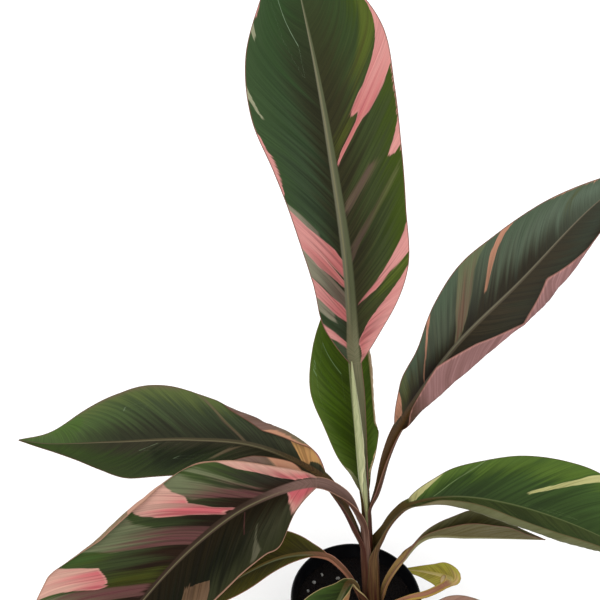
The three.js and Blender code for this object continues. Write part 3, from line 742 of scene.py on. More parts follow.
usualLeaf = dict(  # what a leaf has where it gives nothing else
    slot="leaf_green", wrap=150, wrapTop=62, petioleWidth=4.4, petiole=[], bend=[6, 0], wave=0.8, waves=3,
    columns=30, curlFrom=0.55, curlLeft=[0, 0], curlRight=[0, 0], overLeft=[1.3, 1.3], overRight=[1.3, 1.3],
    pleatShare=1.0, tones={}, scratches=[])

# A patch of a tone has its side of the blade, how ragged its ends are in millimetres, and stops. A stop
# says how far out it is from midrib to margin, then the first and the last vein of the patch there,
# by where they leave the midrib, all in thousandths. A stop of a scratch has one vein.
# The colours of half a blade are root, body, tip, centre and rim; centre and rim are partly painted shade by
# the midrib and painted light by the margin.
# Those of a tone are two by the midrib and one by the margin.
# The dark tone's patches are painted shade and the light green tone's patches painted light.
leaves = [dict(
    name="leaf_upright", azimuth=90, radius=1.95, sheathTop=196, petiole=[[-1, 8, 240], [-5, 12, 290]],
    midrib=[[-8, 15, 314], [-15, 25, 389], [-24, 38, 443], [-34, 51, 493], [-44, 62, 534], [-56, 80, 576]],
    face=[[0.3, -0.9, 0.25], [0.1, -0.97, 0.25], [0.05, -0.97, 0.2]],
    left=[0, 27, 32, 35, 40.5, 45.5, 40, 19, 0], right=[0, 24, 38, 40, 42, 43, 41.5, 23, 0],
    fold=[38, 26, 16, 12], bend=[4, 0, -8], wave=1, waves=4,
    tones=dict(
        pink=[
            ("right", 3, (240, 34, 42), (350, 24, 50), (500, 14, 65), (750, 0, 83), (1000, 0, 106)),
            ("right", 2, (150, 132, 137), (300, 126, 138), (500, 119, 139), (700, 126, 146), (850, 124, 152),
             (1000, 120, 162)),
            ("right", 2, (60, 472, 482), (150, 477, 490), (400, 478, 491), (500, 474, 502), (600, 464, 522),
             (750, 457, 532), (850, 455, 546), (950, 462, 568), (1000, 470, 600)),
            ("right", 2, (330, 514, 523), (420, 504, 524), (500, 494, 524), (620, 480, 520)),
            ("right", 1, (800, 326, 334), (900, 313, 342), (1000, 310, 360)),
            ("right", 0.1, (985, 300, 640), (1000, 260, 660)),
            ("left", 1.5, (100, 22, 30), (300, 20, 35), (500, 25, 38), (750, 28, 43), (1000, 33, 47)),
            ("left", 1.5, (80, 98, 120), (300, 88, 125), (500, 83, 120), (1000, 80, 113)),
            ("left", 1.5, (80, 182, 200), (300, 175, 200), (500, 170, 200), (750, 163, 205),
             (1000, 170, 220)),
            ("left", 1.5, (80, 207, 250), (300, 207, 255), (500, 205, 250), (750, 200, 242),
             (1000, 200, 250)),
            ("left", 0.5, (930, 310, 360), (965, 285, 385), (1000, 250, 420)),
            ("left", 0.3, (965, 600, 630), (1000, 585, 660)),
        ],
        cream=[
            ("left", 1, (860, 436, 444), (1000, 455, 475)),
            ("left", 1, (880, 576, 586), (1000, 570, 585)),
        ],
        grey=[
            ("left", 1.5, (60, 128, 170), (500, 120, 168), (1000, 113, 172)),
            ("left", 2, (550, 66, 84), (1000, 62, 84)),
            ("left", 2, (600, 236, 258), (1000, 240, 262)),
        ],
        mauve=[
            ("right", 4, (70, 250, 287), (250, 268, 293), (500, 266, 285), (920, 270, 285)),
            ("right", 4, (60, 360, 385), (250, 357, 382), (500, 352, 378), (640, 350, 362)),
        ],
        paintedLight=[
            ("right", 5, (500, 545, 580), (750, 550, 610), (970, 560, 630)),
            ("right", 4, (80, 494, 530), (320, 494, 525)),
            ("right", 4, (600, 100, 120), (970, 105, 120)),
        ],
        dark=[("left", 3, (200, 40, 66), (500, 36, 66), (1000, 50, 68))]),
    scratches=[
        ("left", (180, 712), (300, 737), (420, 763), (550, 793), (700, 815)),
    ],
    colours=dict(
        gain=1.26, left=((68, 78, 60), (60, 74, 53), (53, 74, 43), (50, 51, 37), (61, 79, 51)),
        right=((62, 65, 39), (63, 72, 43), (56, 71, 42), (54, 53, 36), (64, 78, 32)), midrib=(86, 90, 66),
        midribToo=(112, 110, 90), ribWidth=5.2, ribShift=1.8, stalk=(104, 104, 78), stalkToo=(120, 116, 90),
        back=(118, 110, 70), backToo=(130, 122, 82), backDark=(98, 82, 56), underRoot=(140, 128, 96),
        pink=((198, 110, 112), (182, 110, 104), (208, 144, 138)),
        cream=((128, 130, 100), (118, 124, 92), (150, 150, 122)),
        grey=((120, 98, 88), (114, 106, 90), (136, 132, 112)),
        mauve=((100, 82, 72), (86, 76, 58), (88, 94, 56)), paintedLight=((74, 74, 38), (74, 80, 38), (84, 96, 42)),
        dark=((50, 60, 44), (46, 54, 38), (54, 66, 46)), scratch=(120, 140, 112), line=(124, 88, 76),
        pinkUnder=((190, 130, 120), (184, 122, 114), (196, 150, 130)))
), dict(
    name="leaf_back", azimuth=96, radius=3.85, sheathTop=178, petioleWidth=4,
    midrib=[[3, 14, 198], [-6, 26, 262], [-12, 44, 318], [-16, 70, 366]],
    face=[[0, -0.95, 0.3], [0, -0.95, 0.3]], left=[0, 16, 24.5, 31, 26, 12, 0],
    right=[0, 12, 18, 19, 17, 12, 0], fold=[30, 18, 12], overRight=[1.3, 1.2, 0.74, 0.72, 0.7, 0.7, 0.7],
    columns=22,
    tones=dict(
        cream=[("right", 1, (860, 30, 80), (1000, 20, 120))],
        grey=[("left", 2, (600, 0, 30), (1000, 0, 70))]),
    scratches=[
        ("left", (800, 363), (950, 372)),
        ("left", (820, 393), (950, 400)),
        ("left", (200, 492), (750, 512)),
    ],
    colours=dict(
        gain=0.9, left=((66, 80, 36), (58, 76, 28), (60, 76, 30), (54, 68, 24), (68, 84, 38)),
        right=((66, 82, 36), (60, 78, 28), (60, 76, 30), (56, 66, 22), (66, 84, 36)),
        grey=((112, 112, 76), (100, 102, 66), (116, 118, 84)), line=(96, 88, 56), scratch=(96, 118, 78),
        cream=((184, 158, 118), (190, 156, 120), (196, 166, 128)), under=(150, 132, 108),
        underToo=(138, 122, 98), underDark=(124, 106, 84))
), dict(
    name="leaf_right_upper", slot="leaf_dark", azimuth=-15, radius=2.87, sheathTop=187,
    petiole=[[12, 2, 212], [17, 4, 242]],
    midrib=[[24, 6, 266], [55, 8, 330], [92, 12, 378], [131, 15, 431], [158, 15, 454]],
    face=[[-0.6, -0.6, 0.5], [-0.35, -0.8, 0.45], [-0.3, -0.75, 0.6]],
    left=[0, 15, 19.5, 30, 35.5, 32, 23.5, 11, 0], right=[0, 22, 33.5, 31.5, 25, 29.5, 20, 11, 0],
    fold=[36, 24, 18, 14], curlLeft=[30, 10, 0], curlFrom=0.6,
    overRight=[0.6, 0.51, 0.47, 0.6, 0.82, 0.6, 0.78, 0.85, 0.9], pleatShare=0.4,
    tones=dict(
        pink=[
            ("left", 2, (360, 20, 30), (500, 10, 34), (750, 0, 40), (1000, 0, 44)),
            ("left", 1, (100, 155, 161), (250, 155, 164), (500, 162, 172), (750, 175, 190), (1000, 200, 214)),
            ("left", 1, (320, 420, 430), (500, 421, 435), (750, 417, 443), (900, 425, 456), (1000, 430, 478)),
            ("left", 0.4, (970, 620, 840), (1000, 560, 860)),
            ("right", 0.2, (965, 0, 1000), (1000, 0, 1000)),
        ],
        grey=[
            ("left", 4, (80, 310, 338), (250, 315, 355), (500, 305, 366), (750, 303, 366), (900, 303, 380),
             (1000, 303, 396)),
        ],
        paintedLight=[
            ("left", 4, (300, 50, 85), (700, 45, 75), (1000, 44, 85)),
            ("left", 1, (600, 735, 750), (850, 750, 775)),
        ],
        dark=[
            ("right", 4, (0, 30, 270), (300, 60, 300)),
            ("left", 4, (0, 0, 260), (220, 50, 200)),
        ]),
    colours=dict(
        # the left half's body, tip and rim are bluish grey: painted sheen over the blade's green
        left=((62, 60, 38), (80, 87, 70), (94, 108, 90), (54, 50, 40), (82, 96, 76)),
        right=((60, 44, 28), (56, 54, 42), (60, 66, 54), (62, 56, 44), (50, 46, 36)), midrib=(84, 76, 62),
        midribToo=(106, 100, 86), sheen=0.2, pink=((160, 118, 92), (148, 106, 82), (194, 140, 114)),
        grey=((120, 92, 74), (104, 94, 76), (104, 112, 82)), paintedLight=((76, 74, 34), (68, 68, 34), (90, 96, 62)),
        dark=((50, 38, 24), (46, 42, 28), (52, 56, 40)), line=(126, 90, 78), underRoot=(80, 58, 44),
        under=(140, 102, 99), underToo=(162, 122, 120), underDark=(114, 80, 75),
        pinkUnder=((180, 122, 116), (184, 128, 126), (186, 134, 126)), stalk=(72, 52, 34),
        stalkToo=(86, 66, 42), back=(80, 56, 40), backToo=(98, 74, 48))
), dict(
    name="leaf_left_upper", azimuth=188, radius=5.92, sheathTop=150, petiole=[[-8, 7, 176], [-18, 10, 196]],
    midrib=[[-29, 13, 212], [-75, 25, 230], [-130, 42, 222], [-190, 55, 208], [-250, 64, 198],
            [-272, 66, 200]],
    face=[[-0.2, -0.35, 0.9], [0, -0.5, 0.85], [0, -0.4, 0.9]],
    left=[0, 21, 27.5, 29, 33, 33, 33.5, 25, 14.5, 6, 0.5],
    right=[0, 21, 26, 27.5, 34.5, 41.5, 43, 37, 26, 10.5, 0.5], fold=[34, 20, 12, 8],
    overLeft=[0.5, 0.54, 0.66, 0.92, 1.2, 1.3, 1.3, 1.3, 1.3, 1.3, 1.3],
    overRight=[0.7, 0.64, 0.6, 0.81, 1.1, 1.3, 1.3, 1.3, 1.3, 1.3, 1.3],
    tones=dict(
        pink=[
            ("left", 2, (350, 30, 45), (600, 10, 55), (1000, 0, 58)),
            ("right", 1, (900, 0, 75), (1000, 0, 80)),
        ],
        cream=[("right", 1, (50, 45, 60), (250, 34, 64), (500, 18, 66), (750, 8, 64), (1000, 0, 50))],
        mauve=[
            ("right", 2, (50, 233, 246), (500, 236, 248), (750, 230, 240), (970, 235, 247)),
            ("left", 3, (180, 235, 255), (550, 225, 240)),
            ("right", 0.4, (950, 300, 750), (1000, 280, 800)),
        ],
        paintedLight=[("right", 6, (300, 800, 860), (700, 680, 880), (1000, 620, 900))],
        dark=[("left", 6, (250, 270, 500), (600, 300, 420), (750, 310, 380))]),
    scratches=[
        ("left", (100, 514), (280, 545)),
        ("right", (600, 522), (680, 495)),
        ("left", (450, 356), (550, 366)),
    ],
    colours=dict(
        gain=1.38, left=((66, 54, 40), (46, 54, 34), (60, 76, 38), (57, 55, 42), (56, 66, 38)),
        right=((74, 74, 56), (66, 76, 52), (80, 100, 56), (52, 54, 40), (92, 104, 60)), midrib=(76, 70, 52),
        midribToo=(92, 84, 66), pink=((200, 128, 118), (190, 112, 106), (206, 134, 128)),
        cream=((208, 162, 100), (200, 146, 96), (212, 166, 110)),
        mauve=((100, 84, 68), (92, 82, 60), (104, 96, 72)), scratch=(106, 120, 92),
        paintedLight=((68, 88, 42), (76, 100, 50), (80, 104, 52)), dark=((38, 42, 28), (36, 42, 27), (44, 52, 34)),
        line=(104, 72, 58), under=(118, 92, 84), underToo=(130, 106, 94), underDark=(94, 72, 60),
        pinkUnder=((184, 128, 104), (178, 118, 98), (190, 140, 112)), stalk=(72, 54, 42), back=(84, 56, 46),
        backToo=(100, 72, 54))
), dict(
    name="leaf_left_lower", slot="leaf_pink", azimuth=212, radius=4.87, wrapTop=64, sheathTop=169,
    petioleWidth=4.8, petiole=[[-3, -5, 193], [-15, -7, 214]],
    midrib=[[-34, -8, 226], [-80, -16, 214], [-118, -34, 194], [-152, -58, 168], [-190, -90, 126],
            [-220, -122, 84]],
    face=[[-0.2, -0.5, 0.85], [-0.2, -0.72, 0.66], [-0.2, -0.8, 0.5]],
    left=[0, 20, 41, 42, 42, 40.5, 40, 40, 39, 38, 36, 35, 33, 30, 24, 14, 0],
    right=[0, 12, 24, 35, 45, 50, 52, 52.5, 54.5, 58, 61, 59, 54, 47, 36, 20, 0], fold=[26, 14, 10, 8],
    bend=[4, 0], curlLeft=[40, 0], curlFrom=0.85,
    overRight=[1.2, 1.1, 0.93, 0.87, 0.88, 0.95, 1.1, 1.2, 1.2], wave=1, waves=4, columns=34,
    tones=dict(
        pink=[
            ("right", 3, (360, 20, 34), (500, 8, 46), (700, 0, 60), (800, 0, 78), (1000, 0, 83)),
            ("right", 3, (50, 205, 240), (250, 212, 246), (500, 203, 250), (600, 182, 250), (750, 168, 240),
             (900, 150, 215), (1000, 140, 200)),
            ("right", 4, (440, 466, 480), (500, 446, 479), (560, 430, 476), (650, 405, 470), (750, 400, 462),
             (900, 388, 458), (1000, 380, 455)),
            ("right", 6, (100, 580, 610), (500, 570, 640), (1000, 550, 640)),
            ("right", 6, (200, 720, 740), (1000, 700, 780)),
            ("left", 4, (0, 0, 75), (100, 0, 64), (250, 0, 44), (400, 0, 32), (550, 0, 24), (950, 0, 14)),
            ("left", 5, (100, 620, 660), (500, 600, 660), (1000, 580, 680)),
            ("left", 4, (300, 780, 800), (1000, 760, 840)),
        ],
        cream=[
            ("left", 5, (500, 335, 360), (580, 295, 365), (680, 245, 370), (800, 235, 390), (1000, 240, 440)),
        ],
        mauve=[
            ("right", 3, (50, 115, 150), (500, 138, 190), (750, 136, 170), (1000, 122, 143)),
            ("right", 3, (20, 290, 355), (300, 292, 360), (500, 290, 360), (750, 262, 352), (1000, 200, 330)),
            ("right", 4, (50, 490, 530), (500, 480, 520), (1000, 460, 500)),
            ("right", 5, (100, 640, 680), (1000, 640, 700)),
            ("right", 1, (250, 104, 112), (500, 112, 120), (950, 104, 116)),
        ],
        grey=[("left", 5, (380, 106, 110), (500, 95, 102), (600, 85, 94), (700, 72, 86), (850, 56, 78))],
        paintedLight=[
            ("right", 4, (50, 432, 486), (300, 440, 486), (500, 440, 480)),
            ("right", 4, (700, 345, 390), (1000, 330, 380)),
        ]),
    scratches=[
        ("left", (80, 188), (300, 163), (460, 142)),
    ],
    colours=dict(
        left=((60, 60, 44), (31, 32, 18), (24, 24, 11), (38, 33, 21), (54, 56, 38)),
        right=((52, 50, 42), (58, 66, 42), (60, 70, 36), (44, 33, 26), (68, 84, 46)), midrib=(58, 46, 38),
        midribToo=(76, 64, 53), ribWidth=3.4, sheen=0.04,
        pink=((206, 104, 112), (192, 98, 102), (206, 160, 144)),
        cream=((98, 74, 56), (84, 66, 48), (114, 90, 70)),
        mauve=((108, 68, 68), (92, 66, 60), (110, 116, 86)), grey=((84, 82, 66), (74, 74, 58), (92, 90, 72)),
        paintedLight=((66, 68, 28), (62, 68, 32), (64, 84, 44)), scratch=(78, 52, 48), line=(168, 128, 108),
        lineWidth=1.4, under=(152, 132, 104), underToo=(140, 118, 92), underDark=(122, 100, 80),
        pinkUnder=((186, 128, 118), (180, 122, 112), (194, 150, 130)), stalk=(108, 84, 76),
        stalkToo=(126, 100, 92), back=(104, 78, 68), backToo=(120, 94, 82), backDark=(86, 60, 50))
), dict(
    name="leaf_right_middle", azimuth=0, radius=7, wrapTop=95, sheathTop=142,
    petiole=[[19, 1, 168], [27, 1, 186]],
    midrib=[[36, 0, 197], [68, 0, 204], [104, -4, 202], [146, -14, 194], [196, -28, 176], [230, -38, 158]],
    face=[[-0.1, -0.15, 0.95], [0, -0.3, 0.95], [0.1, -0.3, 0.95]],
    left=[0, 17.5, 28, 38, 43.5, 44.5, 37, 21, 0], right=[0, 17, 26, 30, 29, 22, 14, 8, 0],
    fold=[34, 16, 12, 8], curlRight=[150, 150, 150, 120],
    tones=dict(
        cream=[
            ("left", 2, (300, 337, 348), (400, 344, 366), (500, 352, 380), (750, 370, 400), (870, 366, 404),
             (1000, 375, 410)),
            ("left", 1.5, (300, 0, 16), (600, 0, 26), (1000, 0, 46)),
        ],
        paintedLight=[
            ("left", 6, (600, 140, 360), (800, 100, 400), (970, 100, 440)),
            ("left", 4, (300, 20, 60), (1000, 20, 80)),
        ]),
    scratches=[
        ("left", (120, 72), (500, 89), (750, 104), (1000, 116)),
        ("left", (50, 443), (120, 610)),
    ],
    colours=dict(
        gain=1.42, left=((52, 72, 22), (64, 86, 44), (68, 92, 50), (58, 76, 41), (83, 108, 48)),
        right=((68, 68, 34), (60, 74, 40), (62, 76, 42), (66, 76, 42), (60, 74, 40)), midrib=(66, 80, 42),
        midribToo=(84, 98, 58), ribWidth=1.3, cream=((188, 186, 126), (174, 170, 110), (194, 190, 132)),
        paintedLight=((70, 92, 38), (74, 98, 40), (88, 112, 48)), scratch=(108, 128, 80), line=(96, 86, 58),
        under=(98, 100, 68), underToo=(92, 94, 62), underDark=(112, 112, 82), keelAndHighlight=(126, 118, 90),
        stalk=(76, 64, 38), stalkToo=(88, 72, 44), back=(84, 64, 42))
), dict(
    name="leaf_right_lower", slot="leaf_pale", azimuth=12, radius=8.13, wrap=22, wrapTop=22, sheathTop=82,
    petioleWidth=3.4, petiole=[[23, -3, 114]],
    midrib=[[35, 0, 139], [52, 5, 155], [84, 6, 155], [112, 8, 152], [146, 10, 148]],
    face=[[-0.2, 0.1, 0.9], [0, 0.35, 0.95]], left=[0, 3, 13, 20, 18, 8, 0],
    right=[0, 4.5, 16, 23, 19, 9, 0], fold=[70, 62, 56], bend=[-4, -6], columns=16,
    colours=dict(
        left=((96, 84, 48), (92, 88, 54), (104, 104, 70), (86, 76, 42), (114, 112, 80)),
        right=((124, 118, 78), (132, 128, 92), (138, 136, 102), (116, 110, 72), (136, 134, 102)),
        midrib=(128, 112, 72), under=(100, 92, 58), underToo=(90, 82, 50), underDark=(114, 108, 76),
        back=(164, 130, 80), backToo=(172, 146, 98), backDark=(132, 94, 60), stalk=(154, 122, 76),
        stalkToo=(166, 138, 88))
), dict(
    name="leaf_yellow", slot="leaf_yellow", azimuth=-31, radius=8.13, wrap=17, wrapTop=17, sheathTop=84,
    petioleWidth=2.2, petiole=[[40, -8, 101], [56, -5, 103]],
    midrib=[[71, 3, 103], [79, 15, 95], [63, 35, 79], [41, 52, 62]],
    face=[[-0.3, -0.5, 0.7], [-0.3, -0.5, 0.7]], left=[0, 9, 11, 8, 5, 2.5, 0],
    right=[0, 9, 11, 7.5, 4.5, 2, 0], fold=[20, 12, 8], wave=0.4, waves=2, columns=14,
    tones=dict(
        dark=[
            ("left", 0.5, (300, 200, 215), (420, 200, 215)),
            ("right", 0.5, (500, 300, 310), (600, 300, 310)),
        ]),
    colours=dict(
        # a gain below 1 lightens this leaf's paint: painted light where it lies in shade
        gain=0.8, left=((170, 148, 96), (158, 147, 65), (150, 142, 62), (150, 136, 62), (150, 146, 64)),
        right=((170, 140, 100), (154, 146, 62), (150, 142, 62), (150, 138, 62), (146, 144, 60)),
        midrib=(168, 154, 92), midribToo=(176, 160, 104), dark=((84, 70, 40), (76, 62, 36), (84, 70, 40)),
        line=(140, 116, 60), under=(182, 158, 128), underToo=(172, 152, 112), underDark=(156, 142, 88),
        back=(128, 90, 72), backToo=(116, 80, 64), backDark=(98, 68, 56), stalk=(138, 100, 80),
        stalkToo=(126, 88, 68))
), dict(
    name="leaf_low_right", slot="leaf_pink", azimuth=-66, radius=8.13, wrap=15, wrapTop=15, sheathTop=84,
    petioleWidth=2.6, petiole=[[32, -17, 99]],
    midrib=[[48, -25, 109], [80, -33, 109], [112, -46, 98], [132, -58, 80]],
    face=[[0, -0.1, 1], [0, -0.1, 1]], left=[0, 14, 18, 16, 8, 0], right=[0, 16, 20, 16, 8, 0],
    fold=[26, 14, 8], wave=0.5, waves=2, columns=16,
    tones=dict(
        pink=[
            ("left", 4, (100, 0, 300), (1000, 0, 500)),
            ("right", 4, (100, 100, 400), (1000, 100, 500)),
        ]),
    colours=dict(
        left=((140, 108, 92), (134, 112, 84), (124, 108, 82), (112, 92, 68), (146, 118, 96)),
        right=((150, 112, 100), (140, 112, 90), (124, 108, 82), (116, 92, 72), (150, 116, 100)),
        midrib=(130, 102, 84), midribToo=(140, 112, 92),
        pink=((158, 114, 102), (166, 122, 108), (160, 126, 108)),
        pinkUnder=((176, 128, 112), (170, 120, 106), (178, 138, 118)), back=(128, 88, 72),
        backToo=(116, 80, 64))
), dict(
    name="leaf_low_left", slot="leaf_dark", azimuth=165, radius=8.13, wrap=24, wrapTop=24, sheathTop=84,
    petioleWidth=2, petiole=[[-2, 7, 101], [-12, 11, 115]],
    midrib=[[-24, 14, 124], [-56, 11, 127], [-92, -1, 118], [-124, -16, 100]],
    face=[[-0.1, -0.2, 1], [-0.1, -0.2, 1]], left=[0, 6, 12, 15, 11, 0], right=[0, 16, 26, 25, 14, 0],
    fold=[26, 14, 8], wave=0.5, waves=2, columns=16,
    colours=dict(
        left=((78, 72, 30), (76, 72, 30), (74, 72, 32), (62, 58, 24), (84, 80, 36)),
        right=((72, 68, 26), (72, 69, 27), (72, 70, 30), (62, 58, 22), (80, 78, 34)), midrib=(104, 88, 50),
        line=(168, 116, 92), back=(138, 98, 78), backToo=(148, 108, 84), stalk=(136, 98, 76),
        stalkToo=(124, 86, 66))
), dict(
    name="leaf_low_front", azimuth=252, radius=8.13, wrap=22, wrapTop=22, sheathTop=82, petioleWidth=3.2,
    petiole=[[5, -13, 106]], midrib=[[-7, -16, 130], [-16, -32, 130], [-34, -58, 116], [-50, -82, 92]],
    face=[[-0.1, -0.3, 1], [-0.1, -0.3, 1]], left=[0, 12, 17, 14, 8, 0], right=[0, 15, 23, 20, 10, 0],
    fold=[30, 14, 8], overLeft=[0.6, 0.45, 0.45, 0.6, 0.7, 0.7], wave=0.5, waves=2, columns=18,
    colours=dict(
        left=((56, 72, 34), (54, 73, 31), (56, 76, 34), (50, 62, 30), (64, 84, 38)),
        right=((58, 74, 36), (56, 74, 34), (56, 76, 34), (52, 64, 32), (66, 86, 40)), line=(172, 152, 106),
        midrib=(98, 104, 64), under=(166, 123, 84), underToo=(152, 110, 74), underDark=(132, 98, 66))
)]

# the pleats along the side veins, in millimetres, and the angle above which an edge looks sharp
pleats = {"height": 0.16, "wide": 8.6, "fine": 4.1, "sharp": 55}

veinRidges = ridgeTree()
for given in leaves:
    leaf = {**usualLeaf, **given}
    piece = newObject(leaf["name"] + "_look", buildLeaf(leaf))
    colours = leafPaint(leaf["colours"])
    wearTree(piece, veinRidges, {
        "Ridge Height": pleats["height"] * leaf["pleatShare"] * mm,
        "Wide Spacing": pleats["wide"], "Fine Spacing": pleats["fine"],
        "Upper Finish": upperFinish(leaf["name"] + "_upper", colours),
        "Under Finish": underFinish(leaf["name"] + "_under", colours),
    })
    freeze(piece, pleats["sharp"])
    place(piece, leaf["name"])


roll = {
    "route": [[14, -3, 66.4], [9.6, 0, 124], [4, 3.2, 192], [0, 2.5, 220], [-4.5, 3.2, 263],
              [-8, 5.6, 292], [-11, 7.6, 320]],
    "radius": [1.45, 1.45, 1.6, 3, 3, 2.1, 0.4],
    "sides": 56,
    "stations": 230,
    "lap": 0.16,  # how far the outer edge of the roll stands proud
    "turn": 1.6,  # turns that the edge makes from foot to tip
    "start": 0.42,  # share of the route where the edge begins to show
    "wander": ((0.25, 47, 0), (0.18, 101, 1)),  # size, pace and start of the waves in that edge
    "sharp": 50,  # degrees between faces above which an edge looks sharp
    "skin": (150, 152, 110), "skinToo": (128, 134, 92), "edge": (186, 184, 140),
    "shadow": (92, 98, 62), "low": (140, 140, 92),  # beside the edge, and towards the foot
    "slot": "leaf_pale",
}


def buildRoll():
    steps = 60
    fine = smoothCurve(roll["route"], steps)
    q = np.linspace(0, 1, roll["stations"] + 1)
    spots = np.linspace(0, 1, len(fine))
    centre = np.stack([np.interp(q, spots, fine[:, k]) for k in range(3)], 1)
    radius = smoothBetween(roll["radius"], q)
    shown = easeOf((q - roll["start"]) / (1 - roll["start"]) * 6)
    share = np.arange(roll["sides"]) / roll["sides"]
    wander = sum(size * np.sin(q * pace + start) for size, pace, start in roll["wander"])
    angle = 2 * np.pi * (share[None, :] + roll["turn"] * q[:, None]) + (wander * shown)[:, None]
    r = radius[:, None] * (1 - roll["lap"] * shown[:, None] * (1 - share[None, :]))
    points = centre[:, None] + np.stack([np.cos(angle) * r, np.sin(angle) * r, np.zeros_like(r)], 2)
    sides, last = roll["sides"], roll["stations"]
    faces = quads(last + 1, sides, closed=True)
    faces.append(tuple(reversed(range(sides))))
    faces.append(tuple(last * sides + j for j in range(sides)))
    mesh = meshFrom("leaf_rolled", points.reshape(-1, 3), faces)
    addNumbers(mesh, "share", np.broadcast_to(share[None, :], r.shape))
    addNumbers(mesh, "rise", np.broadcast_to(q[:, None], r.shape))
    return mesh


def rollFinish():
    made, bench, shader = newMaterial("leaf_rolled_skin")
    share, rise = bench.read("share"), bench.read("rise")
    fine = bench.noise(bench.vector(share * 14.0, rise * 9.0), detail=3.0)
    toned = bench.tint(paint(*roll["skin"]), paint(*roll["skinToo"]), fine, 0.35, 0.65)
    toned = bench.tint(toned, paint(*roll["edge"]), share, 0.86, 0.99)
    toned = bench.tint(toned, paint(*roll["shadow"]), share, 0.07, 0.0)
    toned = bench.tint(toned, paint(*roll["low"]), rise, 0.5, 0.3)
    bench.coat(shader, toned, bench.spread(fine, 0.3, 0.7, 0.4, 0.5), fine, 0.0003)
    return made


piece = newObject("leaf_rolled_look", buildRoll())
piece.data.materials.append(rollFinish())
piece.data.shade_smooth()
piece.data.set_sharp_from_angle(angle=math.radians(roll["sharp"]))
place(piece, "leaf_rolled")


pot = {
    "height": 95.0, "rim": 52.5, "band": 10.5, "step": 2.2, "foot": 37.5, "wall": 1.3, "round": 1.1,
    "sides": 144, "holes": 6, "holeRadius": 3.6, "holeCircle": 28.0, "slot": "pot",
    "black": (7, 7, 10), "dust": (17, 16, 18), "sharp": 35,
}


def potWallAt(z):
    wide = pot["rim"] - pot["step"]
    return pot["foot"] + (wide - pot["foot"]) * z / (pot["height"] - pot["band"])


def potOutline():
    # radius and height, from the middle of the base up the outside and down the inside
    band, rim, wall, top = pot["height"] - pot["band"], pot["rim"], pot["wall"], pot["height"]
    foot, bead = pot["foot"], pot["round"]
    inside = rim - wall - 0.6
    rows = [(0, 0.5), (20, 0.5), (21.5, 0.5), (22.5, 0.0), (foot - 2 * bead, 0), (foot - bead, 0.02)]
    for turn in (20, 45, 70, 90):
        a = math.radians(turn)
        rows.append((foot - bead + bead * math.sin(a), bead - bead * math.cos(a)))
    for z in (14, 28, 42, 56, 70, 80):
        rows.append((potWallAt(z), z))
    rows += [(potWallAt(band - 0.3), band - 0.3), (potWallAt(band) + 0.2, band), (rim - 0.9, band + 0.1),
             (rim - 0.3, band + 0.4), (rim, band + 1.2), (rim, band + 4), (rim, top - 2.4),
             (rim - 0.1, top - 1.4), (rim - 0.35, top - 0.6), (rim - 0.8, top - 0.12), (rim - 1.1, top),
             (inside + 0.5, top), (inside + 0.25, top - 0.15), (inside + 0.06, top - 0.5),
             (inside, top - 1.1), (inside - 0.3, band + 1.5), (potWallAt(band - 1) - wall, band - 1)]
    for z in (70, 56, 42, 28, 14, 3):
        rows.append((potWallAt(z) - wall, z))
    rows += [(potWallAt(2) - wall - 0.3, 1.9), (potWallAt(wall) - wall - 1.1, wall + 0.1), (20, wall),
             (0, wall)]
    return rows


def potTree():
    # turns the outline about the vertical axis, then drills the ring of drain holes
    tree, bench, source, out = growTree("turnedPot", [
        ("Sides", "Int"), ("Holes", "Int"), ("Hole Radius", "Float"), ("Hole Circle", "Float"),
        ("Finish", "Material")])
    given = source.outputs
    size = bench.out("GeometryNodeAttributeDomainSize", {"Geometry": given["Geometry"]}, "Point Count")
    sides = bench.sum("ADD", given["Sides"], 1.0)
    grid = bench.out("GeometryNodeMeshGrid", {
        "Size X": 1.0, "Size Y": 1.0, "Vertices X": size, "Vertices Y": sides})
    position = bench.out("GeometryNodeInputPosition")
    across, along, _ = bench.parts(position)
    row = bench.sum("ROUND", (across + 0.5) * (size - 1.0))
    turn = (along + 0.5) * (2 * math.pi)
    sample = bench.out("GeometryNodeSampleIndex", {
        "Geometry": given["Geometry"], "Index": row, "Value": position}, data_type="FLOAT_VECTOR")
    reach, _, height = bench.parts(sample)
    where = bench.vector(reach * bench.sum("COSINE", turn), reach * bench.sum("SINE", turn), height)
    turned = bench.shape("SetPosition", grid, Position=where)
    closed = bench.shape("MergeByDistance", turned, Distance=0.00002)
    ring = bench.out("GeometryNodeMeshCircle", {"Vertices": given["Holes"], "Radius": given["Hole Circle"]})
    shifted = bench.shape("Transform", ring, Rotation=(0, 0, math.pi / 6))
    drill = bench.out("GeometryNodeMeshCylinder", {
        "Vertices": 32, "Radius": given["Hole Radius"], "Depth": 0.012}, "Mesh")
    drills = bench.out("GeometryNodeInstanceOnPoints", {"Points": shifted, "Instance": drill})
    drills = bench.shape("RealizeInstances", drills)
    cut = bench.out("GeometryNodeMeshBoolean", {"Mesh 1": closed, "Mesh 2": drills},
                    operation="DIFFERENCE", solver="EXACT")
    real = bench.shape("RealizeInstances", cut)
    worn = bench.shape("SetMaterial", real, Material=given["Finish"])
    bench.feed(out.inputs[0], worn)
    return tree


def potFinish():
    made, bench, shader = newMaterial("pot_plastic")
    where = bench.out("ShaderNodeTexCoord", (), "Object")
    soft = bench.noise(where, scale=60.0, detail=3.0)
    grain = bench.noise(where, scale=1500.0, detail=2.0)
    toned = bench.tint(paint(*pot["black"]), paint(*pot["dust"]), soft, 0.52, 0.75)
    bench.coat(shader, toned, bench.spread(soft, 0.3, 0.7, 0.34, 0.5), grain, 0.0002, 0.25, 0.2)
    return made


